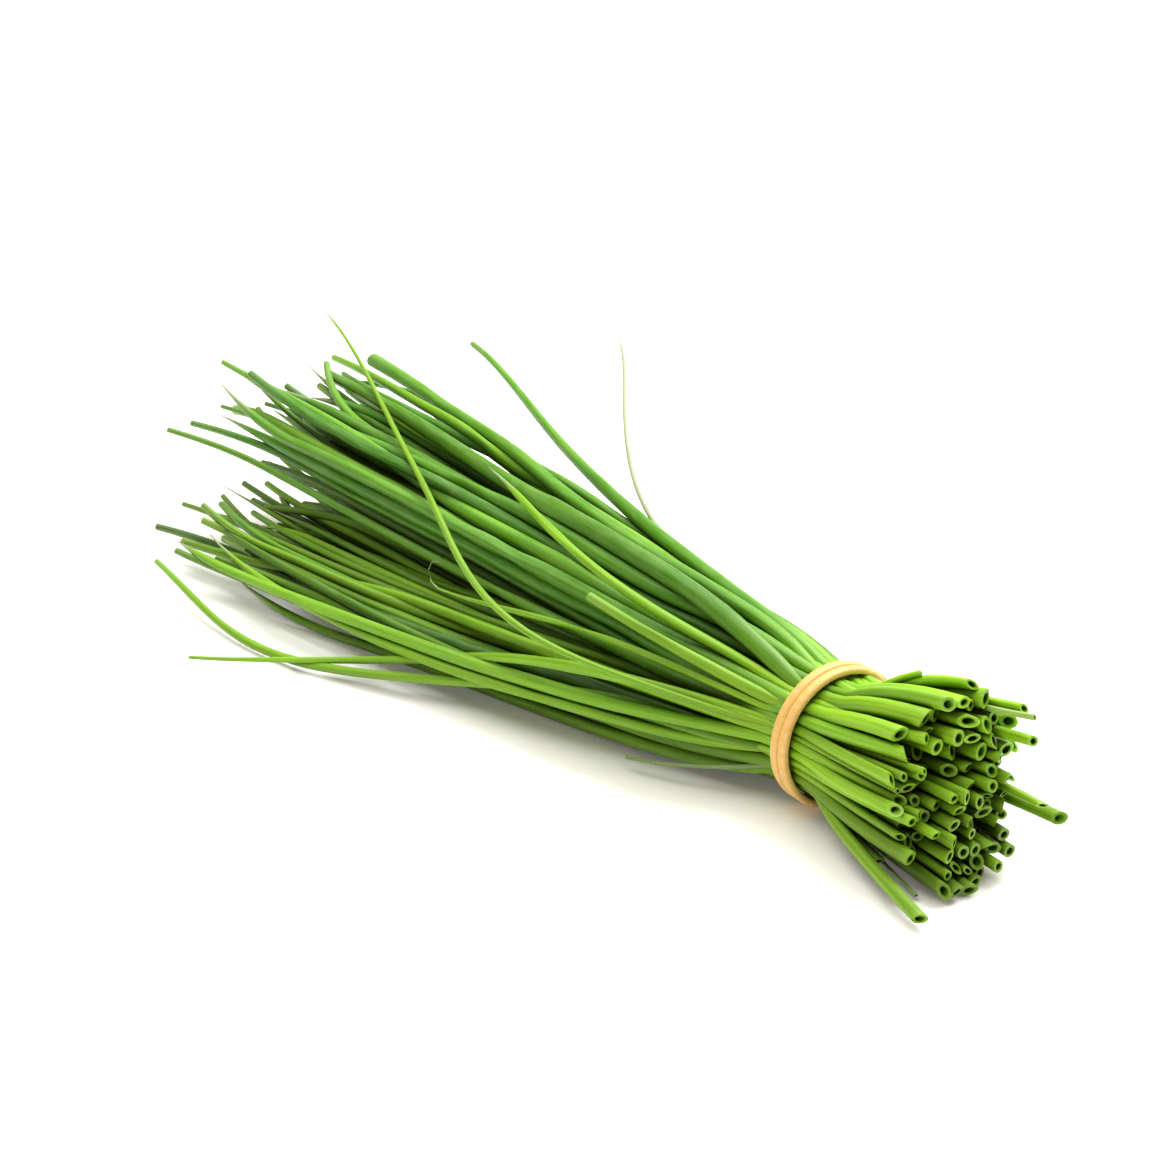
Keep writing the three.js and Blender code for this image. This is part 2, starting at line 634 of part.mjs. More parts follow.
// The band is one closed loop that goes round twice. Its turns lie side by side, and cross
// over each other at the far side. A torus is bent to it: once round the torus is twice
// round the bunch.
function bandGeometry() {
  const geometry = new THREE.TorusGeometry(2, 1, BAND_SIDES, 2 * TURN_SEGMENTS);
  const position = geometry.attributes.position;
  const rowLength = 2 * TURN_SEGMENTS + 1;
  for (let i = 0; i < position.count; i += 1) {
    const around = (2 * Math.PI * (i % rowLength)) / (rowLength - 1);
    const sideTurn = (2 * Math.PI * (Math.floor(i / rowLength) + 0.5)) / BAND_SIDES;
    const lane = Math.cos(around);
    const isOver = Math.sin(around) > 0;
    const lift = isOver ? CROSSING_LIFT / (1 + (Math.abs(lane) / CROSSING_SHARE) ** CROSSING_EDGE) : 0;
    const out = (STRAND_THICK / 2) * squared(Math.cos(sideTurn));
    const radius = BAND_OUTSIDE - STRAND_THICK / 2 + lift + out;
    const angle = 2 * around - Math.PI;
    const x = (STRAND_PITCH / 2) * Math.tanh(LANE_CHANGE * lane)
      + (STRAND_WIDTH / 2) * squared(Math.sin(sideTurn));
    const y = radius * Math.cos(angle);
    const z = AXIS_Z + radius * Math.sin(angle);
    position.setXYZ(i, x, y, Math.max(z, 0));
  }
  return closedGeometry(geometry);
}

function piece(name, geometry, color, roughness) {
  const material = new THREE.MeshStandardMaterial({ color, roughness, metalness: 0 });
  const mesh = new THREE.Mesh(geometry, material);
  mesh.name = name;
  return mesh;
}

const bunch = new THREE.Group();
bunch.add(piece('chive_leaves', leavesGeometry(), 0x4f8a2a, 0.5));
bunch.add(piece('rubber_band', bandGeometry(), 0xe0ad6a, 0.65));

// The origin is the middle of the underside
const box = new THREE.Box3().setFromObject(bunch);
bunch.position.set(-(box.min.x + box.max.x) / 2, -(box.min.y + box.max.y) / 2, -box.min.z);

export default bunch;
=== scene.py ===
"""Chive bunch in Blender: fine hollow leaves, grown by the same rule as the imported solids, the doubled rubber
band that holds them, and a plain pale stage. Laid out as an add-on and run as a script."""

import math
from types import SimpleNamespace

import bmesh
import bpy
import numpy as np
from mathutils import Matrix, Vector


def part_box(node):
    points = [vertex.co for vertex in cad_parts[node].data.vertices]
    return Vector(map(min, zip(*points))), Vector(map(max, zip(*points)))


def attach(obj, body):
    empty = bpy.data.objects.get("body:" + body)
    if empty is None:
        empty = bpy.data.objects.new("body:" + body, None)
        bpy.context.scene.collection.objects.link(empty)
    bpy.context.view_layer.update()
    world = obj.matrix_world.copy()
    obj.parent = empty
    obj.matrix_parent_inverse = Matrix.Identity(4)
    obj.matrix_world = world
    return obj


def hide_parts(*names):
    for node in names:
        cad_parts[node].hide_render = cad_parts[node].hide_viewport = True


bl_info = {
    "name": "Chive Bunch",
    "version": (1, 0, 0),
    "blender": (4, 5, 0),
    "location": "View3D > Sidebar > Chives",
    "description": "Builds a bunch of chives held by a rubber band, on a pale stage",
    "category": "Add Mesh",
}

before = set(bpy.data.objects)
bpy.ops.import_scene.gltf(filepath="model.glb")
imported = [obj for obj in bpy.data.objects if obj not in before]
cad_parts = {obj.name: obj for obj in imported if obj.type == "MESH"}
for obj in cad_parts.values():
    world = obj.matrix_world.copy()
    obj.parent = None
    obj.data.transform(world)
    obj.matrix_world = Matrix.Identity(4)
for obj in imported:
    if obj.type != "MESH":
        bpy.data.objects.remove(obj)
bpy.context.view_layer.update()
MM = 0.001

# Driving dimensions of the bundle, in millimetres, as in the part's source. While it grows, the bunch has the
# middle of the band at x = 0, y = 0, its cut ends at +X and its tips at -X.
BUNDLE_RADIUS = 12.3
BAND_GAP = 0.3
STRAND_THICK = 1.3
STRAND_PITCH = 2.3
FOOT_PRESS = 0.25
BAND_OUTSIDE = BUNDLE_RADIUS + BAND_GAP + STRAND_THICK
AXIS_Z = BAND_OUTSIDE - FOOT_PRESS
BAND_FLOOR = AXIS_Z - BUNDLE_RADIUS
BAND_ZONE = 7
HELD_DEPTH = 1.3
BAND_FILL = 0.9
CAD_BAND_SIDES = 8
CAD_STRAND_ROUNDING = 0.6

# Driving dimensions of the leaves. In the bundle's section, which reaches from -1 to 1, far leaves have u
# above 0 and high ones have v above 0.
GROWN_LEAVES = 75
SECTION_FILL = 0.97
LEAF_RADIUS = 1.22
STOUT_EXTRA = 0.34
STOUT_FROM = 0.35
THINNEST = 0.36
SHORT_SHARE = 0.1
SHORTEST_CUT_OFF = 20
SHORT_SPREAD = 60
FULL_CUT = 36
FULL_TIP = 200

# Leaves are straight this far on both sides of the band's middle, and then part along curves of these powers
HELD_STRAIGHT = 4
BACK_CURVE = 1.1
TURN_CURVE = 5
FRONT_CURVE = 0.9

# A leaf's radius on its way from the cut end to the tip, as shares of its own radius
FORM_PLACES = (0, 0.15, 0.45, 0.8)
FORM_RADII = (1.12, 0.98, 1.1, 0.84)
TIP_TAPER = 0.55
SQUEEZE = 0.12
SQUEEZE_REACH = 9

# The cut ends: how far they reach, and how they spread from the band on
CUT_REACH = 37
CUT_LEAN = -2.5
CUT_SLANT = -5
NEAR_FROM = -0.4
NEAR_SHORTER = 7
DENT_AT = (-0.25, 0.45)
DENT_SPREAD = 0.25
DENT_DEPTH = 12
SPREAD_SIDE = 0.14
SPREAD_UP = 0.36
SPREAD_LIFT = 2
SPREAD_SHEAR = 4.5

# How much one leaf differs from the next
SCATTER = SimpleNamespace(
    side=0.18, tip_z=4, bow_y=8, weave_y=4, weave_z=2, turn_y=9, turn_z=5, cut=3.6, spread=0.18, splay=2.4,
    radius=0.34, taper=0.18)

# The two groups in which the leaves part on their way to the tips
LOW_LEAN = 0.3
LOW_LEVEL = -0.1
UPPER = SimpleNamespace(
    tip_y=-6, fan_y=20, tip_z=21, lean_z=2, rise_z=9, scatter_y=8,
    reach=187, slant=-4, scatter_reach=14, bow_y=0, bow_z=0, scatter_bow_z=4)
LOWER = SimpleNamespace(
    tip_y=-22, fan_y=28, tip_z=9, lean_z=4, rise_z=4, scatter_y=10,
    reach=172, slant=10, scatter_reach=18, bow_y=-6, bow_z=0, scatter_bow_z=2)


def own_leaf(look, at, radius, taper, cut, way, front=(), hook=0):
    """A leaf that stands out by itself: its place in the bundle's section, and its routes to tip and cut."""
    return SimpleNamespace(
        look=look, at=at, radius=radius, taper=taper, cut=cut, way=way, front=front, hook=hook)


OWN_LEAVES = [
    own_leaf("stray", (0.1, 0.92), 1.25, 0.6, 30,
             [(-35, 4, 28), (-75, 11, 28), (-91, 15, 28), (-124, 25, 27), (-146, 34, 26), (-187, 49, 26)]),
    own_leaf("stray", (-0.12, 0.9), 1.55, 1.1, 27,
             [(-30, 0, 28), (-57, 0, 30), (-87, 3, 30), (-113, 9, 29), (-142, 14, 28.5), (-162, 17, 28),
              (-186, 19, 28.5)]),
    own_leaf("stray", (-0.32, 0.84), 1.8, 0.55, 28,
             [(-27, -5, 30), (-53, -5, 31), (-77, -5, 31), (-98, -2, 30), (-134, 2, 29), (-185, 6, 28)]),
    own_leaf("light", (-0.5, 0.75), 0.9, 0.5, 28,
             [(-40, -15, 29), (-59, -14, 30), (-72, -11, 31), (-84, -10, 32), (-98, -4, 32), (-108, -1, 33)]),
    own_leaf("light", (-0.75, -0.35), 0.95, 0.65, 33,
             [(-31, -20, 14), (-57, -27, 9), (-71, -32, 6), (-83, -39, 4), (-96, -48, 1.5), (-112, -56, 1),
              (-122, -58, 1), (-143, -54, 2), (-165, -50, 4)]),
    own_leaf("light", (-0.86, 0), 1.15, 0.7, 30,
             [(-19, -18, 18), (-56, -24, 15), (-79, -25, 13), (-102, -29, 11), (-126, -33, 9), (-150, -39, 6),
              (-167, -46, 5)]),
    own_leaf("light", (-0.8, 0.25), 0.95, 0.4, 30,
             [(-19, -20, 20), (-37, -24, 19), (-56, -30, 17), (-69, -31, 13), (-86, -35, 6), (-94, -39, 3),
              (-102, -44, 1.2), (-111, -50, 0.6), (-117, -61, 0.5), (-123, -80, 0.5)]),
    own_leaf("light", (-0.88, 0.12), 0.66, 0.4, 30,
             [(-19, -21, 20), (-45, -30, 20), (-55, -34, 21), (-71, -33, 24), (-80, -31, 26), (-91, -25, 29),
              (-112, -16, 30), (-138, -6, 30), (-169, 7, 31), (-210, 22, 34)]),
    own_leaf("light", (-0.62, 0.42), 0.75, 0.5, 33,
             [(-23, -18, 23), (-45, -21, 24), (-64, -25, 22), (-72, -27, 20), (-81, -28, 18), (-90, -29, 17)],
             hook=3),
    own_leaf("light", (-0.5, 0.72), 1.15, 0.8, 30,
             [(-24, -18, 26), (-37, -20, 27), (-52, -18, 28)]),
    own_leaf("dry", (0.45, 0.8), 0.5, 0.7, 22,
             [(-40, 6, 25), (-70, 10, 27), (-80, 13, 29), (-91, 20, 30), (-103, 28, 31), (-120, 40, 32),
              (-142, 58, 34), (-153, 70, 35)]),
    own_leaf("half_dry", (-0.55, -0.8), 0.55, 0.7, 38,
             [(-7, -15, 4), (-19, -21, 3), (-26, -24, 2), (-32, -29, 2)]),
    own_leaf("light", (-0.8, -0.25), 1.05, 0.65, 31,
             [(-30, -19, 11), (-60, -28, 8), (-97, -36, 6), (-123, -39, 6), (-144, -44, 6), (-163, -49, 6)]),
    own_leaf("grown", (-0.72, -0.6), 1.25, 0.6, 46,
             [(-26, -17, 3), (-55, -22, 1.3), (-85, -29, 1.2), (-118, -38, 1.2), (-142, -49, 1.5)],
             [(25, -15, 5), (46, -20, 1.3)]),
    own_leaf("grown", (0.8, -0.3), 1.2, 0.6, 46,
             [(-90, 8, 10), (-185, 4, 8)], [(20, 11, 11), (46, 14, 12)]),
    own_leaf("grown", (0.72, -0.62), 1.25, 0.6, 40,
             [(-40, 9, 5), (-75, 14, 1.3), (-150, 21, 1.1), (-188, 25, 1.6)]),
    own_leaf("grown", (0.35, -0.88), 1.25, 0.6, 41,
             [(-40, -2, 2.5), (-96, -4, 1.6), (-140, -9, 2), (-177, -18, 5)]),
    own_leaf("grown", (0.58, -0.72), 1.15, 0.6, 42,
             [(-40, 4, 3), (-100, 4, 3), (-150, -2, 4), (-184, -9, 7)]),
    own_leaf("grown", (-0.3, -0.1), 1.3, 0.6, 34,
             [(-60, -8, 15), (-120, -13, 15), (-178, -18, 18)]),
    own_leaf("grown", (0.1, -0.15), 1.3, 0.6, 35,
             [(-60, -3, 15), (-120, -8, 14), (-177, -19, 15)]),
    own_leaf("grown", (-0.1, -0.3), 1.2, 0.6, 36,
             [(-60, -6, 12), (-120, -12, 11), (-166, -20, 12)]),
    own_leaf("grown", (-0.62, -0.7), 1.1, 0.6, 28,
             [(-60, -20, 3), (-110, -26, 2), (-150, -36, 2)],
             [(14, -12.5, 4.5), (28, -14.5, 2.8)]),
    own_leaf("grown", (0.75, 0), 0.95, 0.6, 45,
             [(-100, 10, 14), (-180, 12, 12)],
             [(20, 10.5, 14), (45, 10.5, 15)]),
    own_leaf("light", (0.5, 0.5), 1.15, 0.6, 41,
             [(-100, 10, 25), (-172, 16, 26)],
             [(18, 9, 22), (38, 10, 25.5), (50, 11, 28)]),
    own_leaf("grown", (0.3, 0.88), 1.35, 0.6, 29,
             [(-100, 8, 28), (-200, 16, 27)], [(12, 5, 29), (29, 7, 34), (40, 8, 37)]),
    own_leaf("grown", (0.65, 0.65), 1, 0.6, 38,
             [(-100, 12, 26), (-196, 22, 25)], [(18, 10, 26), (38, 11, 31), (50, 11, 34)]),
    own_leaf("half_dry", (0.35, 0.6), 0.6, 0.6, 42,
             [(-100, 6, 24), (-190, 10, 24)], [(20, 8, 26), (42, 10, 31), (54, 11, 34)]),
    own_leaf("light", (-0.05, 0.95), 0.7, 0.55, 17,
             [(-60, -2, 28), (-170, 4, 28)], [(6, -2, 28), (12, 3, 32), (24, 11, 38)]),
]

# Two leaves deep in the gap between the two groups, where the floor would show, and two right under the top
# of the band, where it would stand off. Their cut ends stay inside the bundle, and nothing pushes them.
INNER_LEAVES = [
    own_leaf("inner", (0, -0.3), 1.25, 0.6, 4,
             [(-60, 2, 5), (-100, -1.5, 2), (-129, -4.3, 1.8), (-170, -7, 2.2)]),
    own_leaf("inner", (0.2, -0.2), 1.25, 0.6, 4, [(-60, 6, 5), (-120, 7, 3.6), (-154, 6, 3)]),
    own_leaf("inner", (0.68, 0.81), 1.35, 0.6, 18,
             [(18, 6, 20), (6, 7.5, 22.5), (-6, 7.5, 22.5), (-24, 6, 20.5), (-100, 8, 22), (-150, 12, 22)]),
    own_leaf("inner", (0.51, 0.92), 1.35, 0.6, 18,
             [(18, 4, 20.5), (6, 5.7, 23.7), (-6, 5.7, 23.7), (-24, 4, 21), (-100, 5, 22), (-150, 8, 22)]),
]

# Cross-sections of the whole bunch, at which every leaf's centre is known
STATION_STEP = 6
STATION_COUNT = 47
FIRST_STATION = 54
STATIONS = FIRST_STATION - STATION_STEP * np.arange(STATION_COUNT, dtype=float)

# Settling
SETTLE_ROUNDS = 120
PUSH_SHARE = 0.34
STRAIGHTEN_SHARE = 0.5
RETURN_SHARE = 0.06
LAST_SMOOTHINGS = 3
TOUCH = 0.02
SEED = 7

# The straight leaf that every leaf is a bent copy of
STRAIGHT_LENGTH = 230.0
STRAIGHT_RADIUS = 1.4
LEAF_SIDES = 14
LEAF_RINGS = 54
FIRST_RING = 1.5
CUT_BORE = 4.5
TIP_BORE = 4.0
BORE_STEPS = (0.08, 0.22, 0.7)
SHARP_EDGE = 50

# Points along a leaf's route, and along the turn of a hooked tip, in degrees
ROUTE_POINTS = 200
HOOK_POINTS = 30
HOOK_FROM = 5
HOOK_TO = 190
HOOK_END = 0.5

# How a straight copy takes a leaf's form. Reaches are in millimetres along the leaf, and the rest are shares,
# apart from LOWEST, the least height of any point over the surface.
HEADING_STEP = 1.5
SLANT_REACH = 3.0
FLAT_REACH = 6.0
KINK_REACH = 5.0
WIDER_SHARE = 0.6
POINT_LEAST = 0.06
POINT_CURVE = 0.7
LOWEST = 0.02
BORE_FROM = 0.95

# A cut leaf loses water and shrinks a little near its cut end
CUT_SLIMMING = 0.13
CUT_SLIMMING_REACH = 25

# Painted light and shade near the cut ends: the upper leaves are painted paler towards them, and the lower
# leaves darker
CUT_END_PAINTED_REACH = 32

# Looks. A tone of 0 is the young leaf's green and 1 is the deep leaf's.
LOOK_SEED = 4241
LOOK_SEED_STEP = 97
DRAWS_PASSED_OVER = 4
TONES = {"light": 0.28, "stray": 0.75, "dry": 0.3, "half_dry": 0.5, "inner": 0.55}
GROWN_TONE = 0.5
HIGH_TONE = 0.28
FAR_TONE = 0.16
SHADE = 0.93
# Painted light: the higher a leaf lies in the bunch, the lighter it is painted all along
HIGH_PAINTED_LIGHT = 0.2
# Painted light on the upper leaves' cut ends, and painted shade on the lower leaves' cut ends
CUT_END_PAINTED_LIGHT = 0.36
CUT_END_PAINTED_SHADE = 0.16
DRYNESS = {"dry": 0.9, "half_dry": 0.4}
BLUNT_LOOKS = ("stray", "half_dry")
SLIM_RADIUS = 0.95
POINTED_SHARE = 0.3
POINTED_TIP_DRYNESS = 0.9
BLUNT_TIP_DRYNESS = 0.15

# How much one leaf's look differs from the next
LOOK_SCATTER = SimpleNamespace(
    tone=0.6, offset=40, slant=0.85, shortest_point=8, point=22, twist_rate=0.02, least_oval=0.03, oval=0.07,
    end_oval=0.4, kinks=2, first_kink=0.25, kink=0.65, least_dent=0.12, dent=0.2, shade=0.4,
    shortest_curl=22, curl_length=20, curl_y=12, curl_z=9)

# The band. Its turns change lanes where they cross, at the far side, and one passes over the other there.
TURN_SEGMENTS = 110
STRAND_SIDES = 16
TORUS_RADIUS = 20
STRAND_ROUNDING = 0.7
SET_IN = 0.06
LANE_CHANGE = 8
CROSSING_LIFT = 1.4
CROSSING_SHARE = 0.33
CROSSING_EDGE = 8
PATTERN_RADIUS = 30
PATTERN_HEIGHT = 0.6

# The view, and where the photograph has the middle of the band, in its frame of 1170 pixels
VIEW_AZIMUTH = 54
VIEW_ELEVATION = 24
LENS = 100
SENSOR = 36
PHOTO_SIZE = 1170
BAND_MIDDLE = Vector((0, 0, 13.5))
BAND_PIXEL = (834, 735)
PIXELS_PER_MM = 5.4
NEAREST_SEEN = 0.02

# The light of the room
ROOM_COLOUR = "#ffecc6"
ROOM_STRENGTH = 0.37


class Draws:
    """Seeded random draws, the same as in the part's source."""

    def __init__(self, seed):
        self.state = seed

    def unit(self):
        self.state = (self.state * 48271) % 2147483647
        return self.state / 2147483647

    def about(self, spread):
        return (self.unit() + self.unit() + self.unit() - 1.5) / 1.5 * spread


def radius_at(leaf, x):
    """A leaf is fullest in its middle, and a little squeezed under the band."""
    along = np.clip((leaf.cut - x) / (leaf.cut - leaf.tip), 0, 1)
    form = np.interp(along, (*FORM_PLACES, 1), (*FORM_RADII, leaf.taper))
    squeezed = 1 - SQUEEZE * np.exp(-((x / SQUEEZE_REACH) ** 2))
    return np.maximum(leaf.radius * form * squeezed, THINNEST)


def grow_leaf(index, draws):
    """One leaf before settling. Grown leaves fill the section in a sunflower spiral."""
    own = OWN_LEAVES[index - GROWN_LEAVES] if index >= GROWN_LEAVES else None
    spiral_out = SECTION_FILL * math.sqrt((index + 0.5) / GROWN_LEAVES)
    spiral_turn = index * math.pi * (3 - math.sqrt(5))
    u, v = own.at if own else (spiral_out * math.cos(spiral_turn), spiral_out * math.sin(spiral_turn))

    is_low = v + LOW_LEAN * u < LOW_LEVEL + draws.about(SCATTER.side)
    group = LOWER if is_low else UPPER
    tip_y = group.tip_y + group.fan_y * u + draws.about(group.scatter_y)
    tip_z = group.tip_z + group.lean_z * u + group.rise_z * v + draws.about(SCATTER.tip_z)
    reach = group.reach + group.slant * u + draws.about(group.scatter_reach)
    bow_y = group.bow_y * (1 - u) + draws.about(SCATTER.bow_y)
    bow_z = group.bow_z + draws.about(group.scatter_bow_z)
    weave_y = draws.about(SCATTER.weave_y)
    weave_z = draws.about(SCATTER.weave_z)
    turn_y = draws.about(SCATTER.turn_y)
    turn_z = draws.about(SCATTER.turn_z)
    if draws.unit() < SHORT_SHARE:
        reach -= SHORTEST_CUT_OFF + SHORT_SPREAD * draws.unit()
    cut = CUT_REACH + CUT_LEAN * u + CUT_SLANT * v + draws.about(SCATTER.cut)
    if u < NEAR_FROM:
        cut -= NEAR_SHORTER
    from_dent = math.hypot(u - DENT_AT[0], v - DENT_AT[1])
    cut -= DENT_DEPTH * math.exp(-((from_dent / DENT_SPREAD) ** 2))
    spread = draws.about(SCATTER.spread)
    splay_y = draws.about(SCATTER.splay)
    splay_z = draws.about(SCATTER.splay)
    stout = STOUT_EXTRA if v > STOUT_FROM and not is_low else 0
    radius = LEAF_RADIUS + draws.about(SCATTER.radius) + stout
    taper = TIP_TAPER + draws.about(SCATTER.taper)

    leaf = SimpleNamespace(cut=cut, tip=-reach, radius=radius, taper=taper)
    if own:
        leaf = SimpleNamespace(cut=own.cut, tip=own.way[-1][0], radius=own.radius, taper=own.taper)
    leaf.u, leaf.v, leaf.is_low = u, v, is_low
    leaf.look = own.look if own else "grown"
    leaf.hook = own.hook if own else 0

    band_y = BAND_FILL * BUNDLE_RADIUS * u
    band_z = AXIS_Z + BAND_FILL * BUNDLE_RADIUS * v
    back = np.maximum(-STATIONS - HELD_STRAIGHT, 0) / (FULL_TIP - HELD_STRAIGHT)
    front = (np.maximum(STATIONS - HELD_STRAIGHT, 0) / (FULL_CUT - HELD_STRAIGHT)) ** FRONT_CURVE
    bow = np.sin(math.pi * np.minimum(back, 1))
    weave = np.sin(2 * math.pi * np.minimum(back, 1))
    if own:
        route = np.array(sorted([(0, band_y, band_z), *own.way, *own.front]), dtype=float)
        leaf.y = np.interp(STATIONS, route[:, 0], route[:, 1])
        leaf.z = np.interp(STATIONS, route[:, 0], route[:, 2])
    else:
        parting = back**BACK_CURVE
        turning = back**TURN_CURVE
        leaf.y = band_y + (tip_y - band_y) * parting + bow_y * bow + weave_y * weave + turn_y * turning
        leaf.z = band_z + (tip_z - band_z) * parting + bow_z * bow + weave_z * weave + turn_z * turning
    if not (own and own.front):
        leaf.y = leaf.y + front * (BUNDLE_RADIUS * u * (SPREAD_SIDE + spread) + SPREAD_SHEAR * v + splay_y)
        leaf.z = leaf.z + front * (BUNDLE_RADIUS * v * (SPREAD_UP + spread) + SPREAD_LIFT + splay_z)
    return leaf


def held(y, z, radii):
    """Leaves kept above the surface, and inside the band's circle where the band holds them."""
    in_band = np.abs(STATIONS)[None] < BAND_ZONE
    from_axis = np.maximum(np.hypot(y, z - AXIS_Z), 1e-9)
    room = BUNDLE_RADIUS - np.maximum(radii, HELD_DEPTH)
    keep = np.where(in_band, np.minimum(1, room / from_axis), 1)
    floor = radii + np.where(in_band, BAND_FLOOR, 0)
    return y * keep, np.maximum(AXIS_Z + (z - AXIS_Z) * keep, floor)


def smoothed(values, share):
    """Each value moved towards the mean of its two neighbours along the leaf."""
    result = values.copy()
    result[:, 1:-1] += share * ((values[:, :-2] + values[:, 2:]) / 2 - values[:, 1:-1])
    return result


def pushes(y, z, radii, there):
    """How far overlapping leaves push each other at each station."""
    dy = y[:, None] - y[None]
    dz = z[:, None] - z[None]
    apart = np.hypot(dy, dz) + 1e-9
    over = np.maximum(radii[:, None] + radii[None] + TOUCH - apart, 0)
    over = over * (there[:, None] & there[None])
    over[np.arange(len(y)), np.arange(len(y))] = 0
    share = PUSH_SHARE * over / apart
    return (share * dy).sum(1), (share * dz).sum(1)


def settle(leaves):
    """The leaves push each other apart and straighten, less and less."""
    y = np.array([leaf.y for leaf in leaves])
    z = np.array([leaf.z for leaf in leaves])
    aim_y, aim_z = y.copy(), z.copy()
    radii = np.array([radius_at(leaf, STATIONS) for leaf in leaves])
    there = np.array([
        (STATIONS <= leaf.cut + STATION_STEP) & (STATIONS >= leaf.tip - STATION_STEP) for leaf in leaves])
    for step in range(SETTLE_ROUNDS):
        fade = 1 - step / SETTLE_ROUNDS
        y = y + RETURN_SHARE * fade * (aim_y - y)
        z = z + RETURN_SHARE * fade * (aim_z - z)
        push_y, push_z = pushes(y, z, radii, there)
        y = smoothed(y + push_y, STRAIGHTEN_SHARE * fade)
        z = smoothed(z + push_z, STRAIGHTEN_SHARE * fade)
        y, z = held(y, z, radii)
    for _ in range(LAST_SMOOTHINGS):
        y, z = held(smoothed(y, 0.5), smoothed(z, 0.5), radii)
    for leaf, leaf_y, leaf_z in zip(leaves, y, z):
        leaf.y, leaf.z = leaf_y, leaf_z


def grow_inner_leaf(own):
    """A leaf on a route of its own inside the bunch."""
    u, v = own.at
    in_band = (0, BAND_FILL * BUNDLE_RADIUS * u, AXIS_Z + BAND_FILL * BUNDLE_RADIUS * v)
    route = np.array(sorted([in_band, *own.way]), dtype=float)
    return SimpleNamespace(
        look=own.look, u=u, v=v, is_low=True, hook=0, cut=own.cut, tip=own.way[-1][0], radius=own.radius,
        taper=own.taper, y=np.interp(STATIONS, route[:, 0], route[:, 1]),
        z=np.interp(STATIONS, route[:, 0], route[:, 2]))


def grow_bunch():
    """All leaves of the bunch, settled, with those deep inside it last."""
    draws = Draws(SEED)
    leaves = [grow_leaf(index, draws) for index in range(GROWN_LEAVES + len(OWN_LEAVES))]
    settle(leaves)
    return leaves + [grow_inner_leaf(own) for own in INNER_LEAVES]


LEAVES = grow_bunch()


def bunch_to_row():
    """Where the growing bunch's origin is in the row's frame, in metres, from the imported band."""
    low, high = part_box("rubber_band")
    facet = math.cos(math.pi / CAD_BAND_SIDES) ** CAD_STRAND_ROUNDING
    outside = BAND_OUTSIDE - STRAND_THICK / 2 * (1 - facet)
    return Vector(((low[0] + high[0]) / 2, low[1] + outside * MM, 0))


ORIGIN = bunch_to_row()


class ChiveSizes(bpy.types.PropertyGroup):
    """Sizes that a user would change."""

    leaf_wall: bpy.props.FloatProperty(
        name="Leaf wall", description="Thickness of a leaf's wall at its cut end",
        default=0.6 * MM, min=0.1 * MM, max=0.9 * MM, unit="LENGTH", precision=5)
    strand_width: bpy.props.FloatProperty(
        name="Strand width", description="Width of one turn of the rubber band",
        default=2.2 * MM, min=0.8 * MM, max=2.3 * MM, unit="LENGTH", precision=5)
    strand_thick: bpy.props.FloatProperty(
        name="Strand thickness", description="Thickness of one turn of the rubber band",
        default=1.4 * MM, min=0.5 * MM, max=1.6 * MM, unit="LENGTH", precision=5)
    floor_size: bpy.props.FloatProperty(
        name="Floor size", description="Side of the pale floor", default=6.0, min=1.0, unit="LENGTH")


def colour_property(name, description, default):
    """A colour that a user would change, with its default as an sRGB hex value."""
    return bpy.props.FloatVectorProperty(
        name=name, description=description, default=linear(default), size=4, min=0, max=1, subtype="COLOR")


def linear(hex_colour):
    """Linear RGBA of an sRGB hex colour such as "#5e9b26"."""
    channels = [int(hex_colour[i:i + 2], 16) / 255 for i in (1, 3, 5)]
    return (*[c / 12.92 if c <= 0.04045 else ((c + 0.055) / 1.055) ** 2.4 for c in channels], 1.0)


class ChiveColours(bpy.types.PropertyGroup):
    """Colours that a user would change."""

    deep_leaf: colour_property("Deep leaf", "The green of the stout outer leaves", "#45820c")
    young_leaf: colour_property("Young leaf", "The yellow-green of the slim leaves", "#84b41c")
    wax: colour_property("Wax bloom", "The pale bloom on the stout leaves", "#a6c98a")
    cut_rim: colour_property("Cut rim", "The moist rim of a cut end", "#a4ca48")
    # The bore's green is the inner wall's own colour, set darker than the skin as painted shade in the hollow
    bore_with_painted_shade: colour_property("Bore", "The moist wall inside a hollow leaf", "#5c8a16")
    dry_tip: colour_property("Dry tip", "A dried leaf end", "#a9ad92")
    rubber: colour_property("Rubber", "The tan of the band", "#e8b966")
    rubber_dust: colour_property("Rubber dust", "The pale dust on the band", "#f4d698")
    floor: colour_property("Floor", "The pale floor", "#ffffff")


def deselect_all():
    """Nothing selected, in object mode."""
    if bpy.context.object and bpy.context.object.mode != "OBJECT":
        bpy.ops.object.mode_set(mode="OBJECT")
    bpy.ops.object.select_all(action="DESELECT")


def select_faces(piece, test):
    """In edit mode, only the faces whose middle and normal pass the test are selected."""
    shape = bmesh.from_edit_mesh(piece.data)
    for face in shape.faces:
        face.select_set(bool(test(face.calc_center_median(), face.normal)))
    shape.select_flush_mode()
    bmesh.update_edit_mesh(piece.data)


def bore_end(piece, end_x, wall, depth):
    """Insets the end face at end_x by the wall and pushes it into the leaf."""
    inwards = -math.copysign(1, end_x + STRAIGHT_LENGTH / 2 * MM)
    select_faces(piece, lambda middle, normal: abs(normal.x) > 0.9 and abs(middle.x - end_x) < 0.01 * MM)
    bpy.ops.mesh.inset(thickness=wall)
    for share in BORE_STEPS:
        bpy.ops.mesh.extrude_region_move(
            TRANSFORM_OT_translate={"value": (inwards * share * depth, 0, 0)})


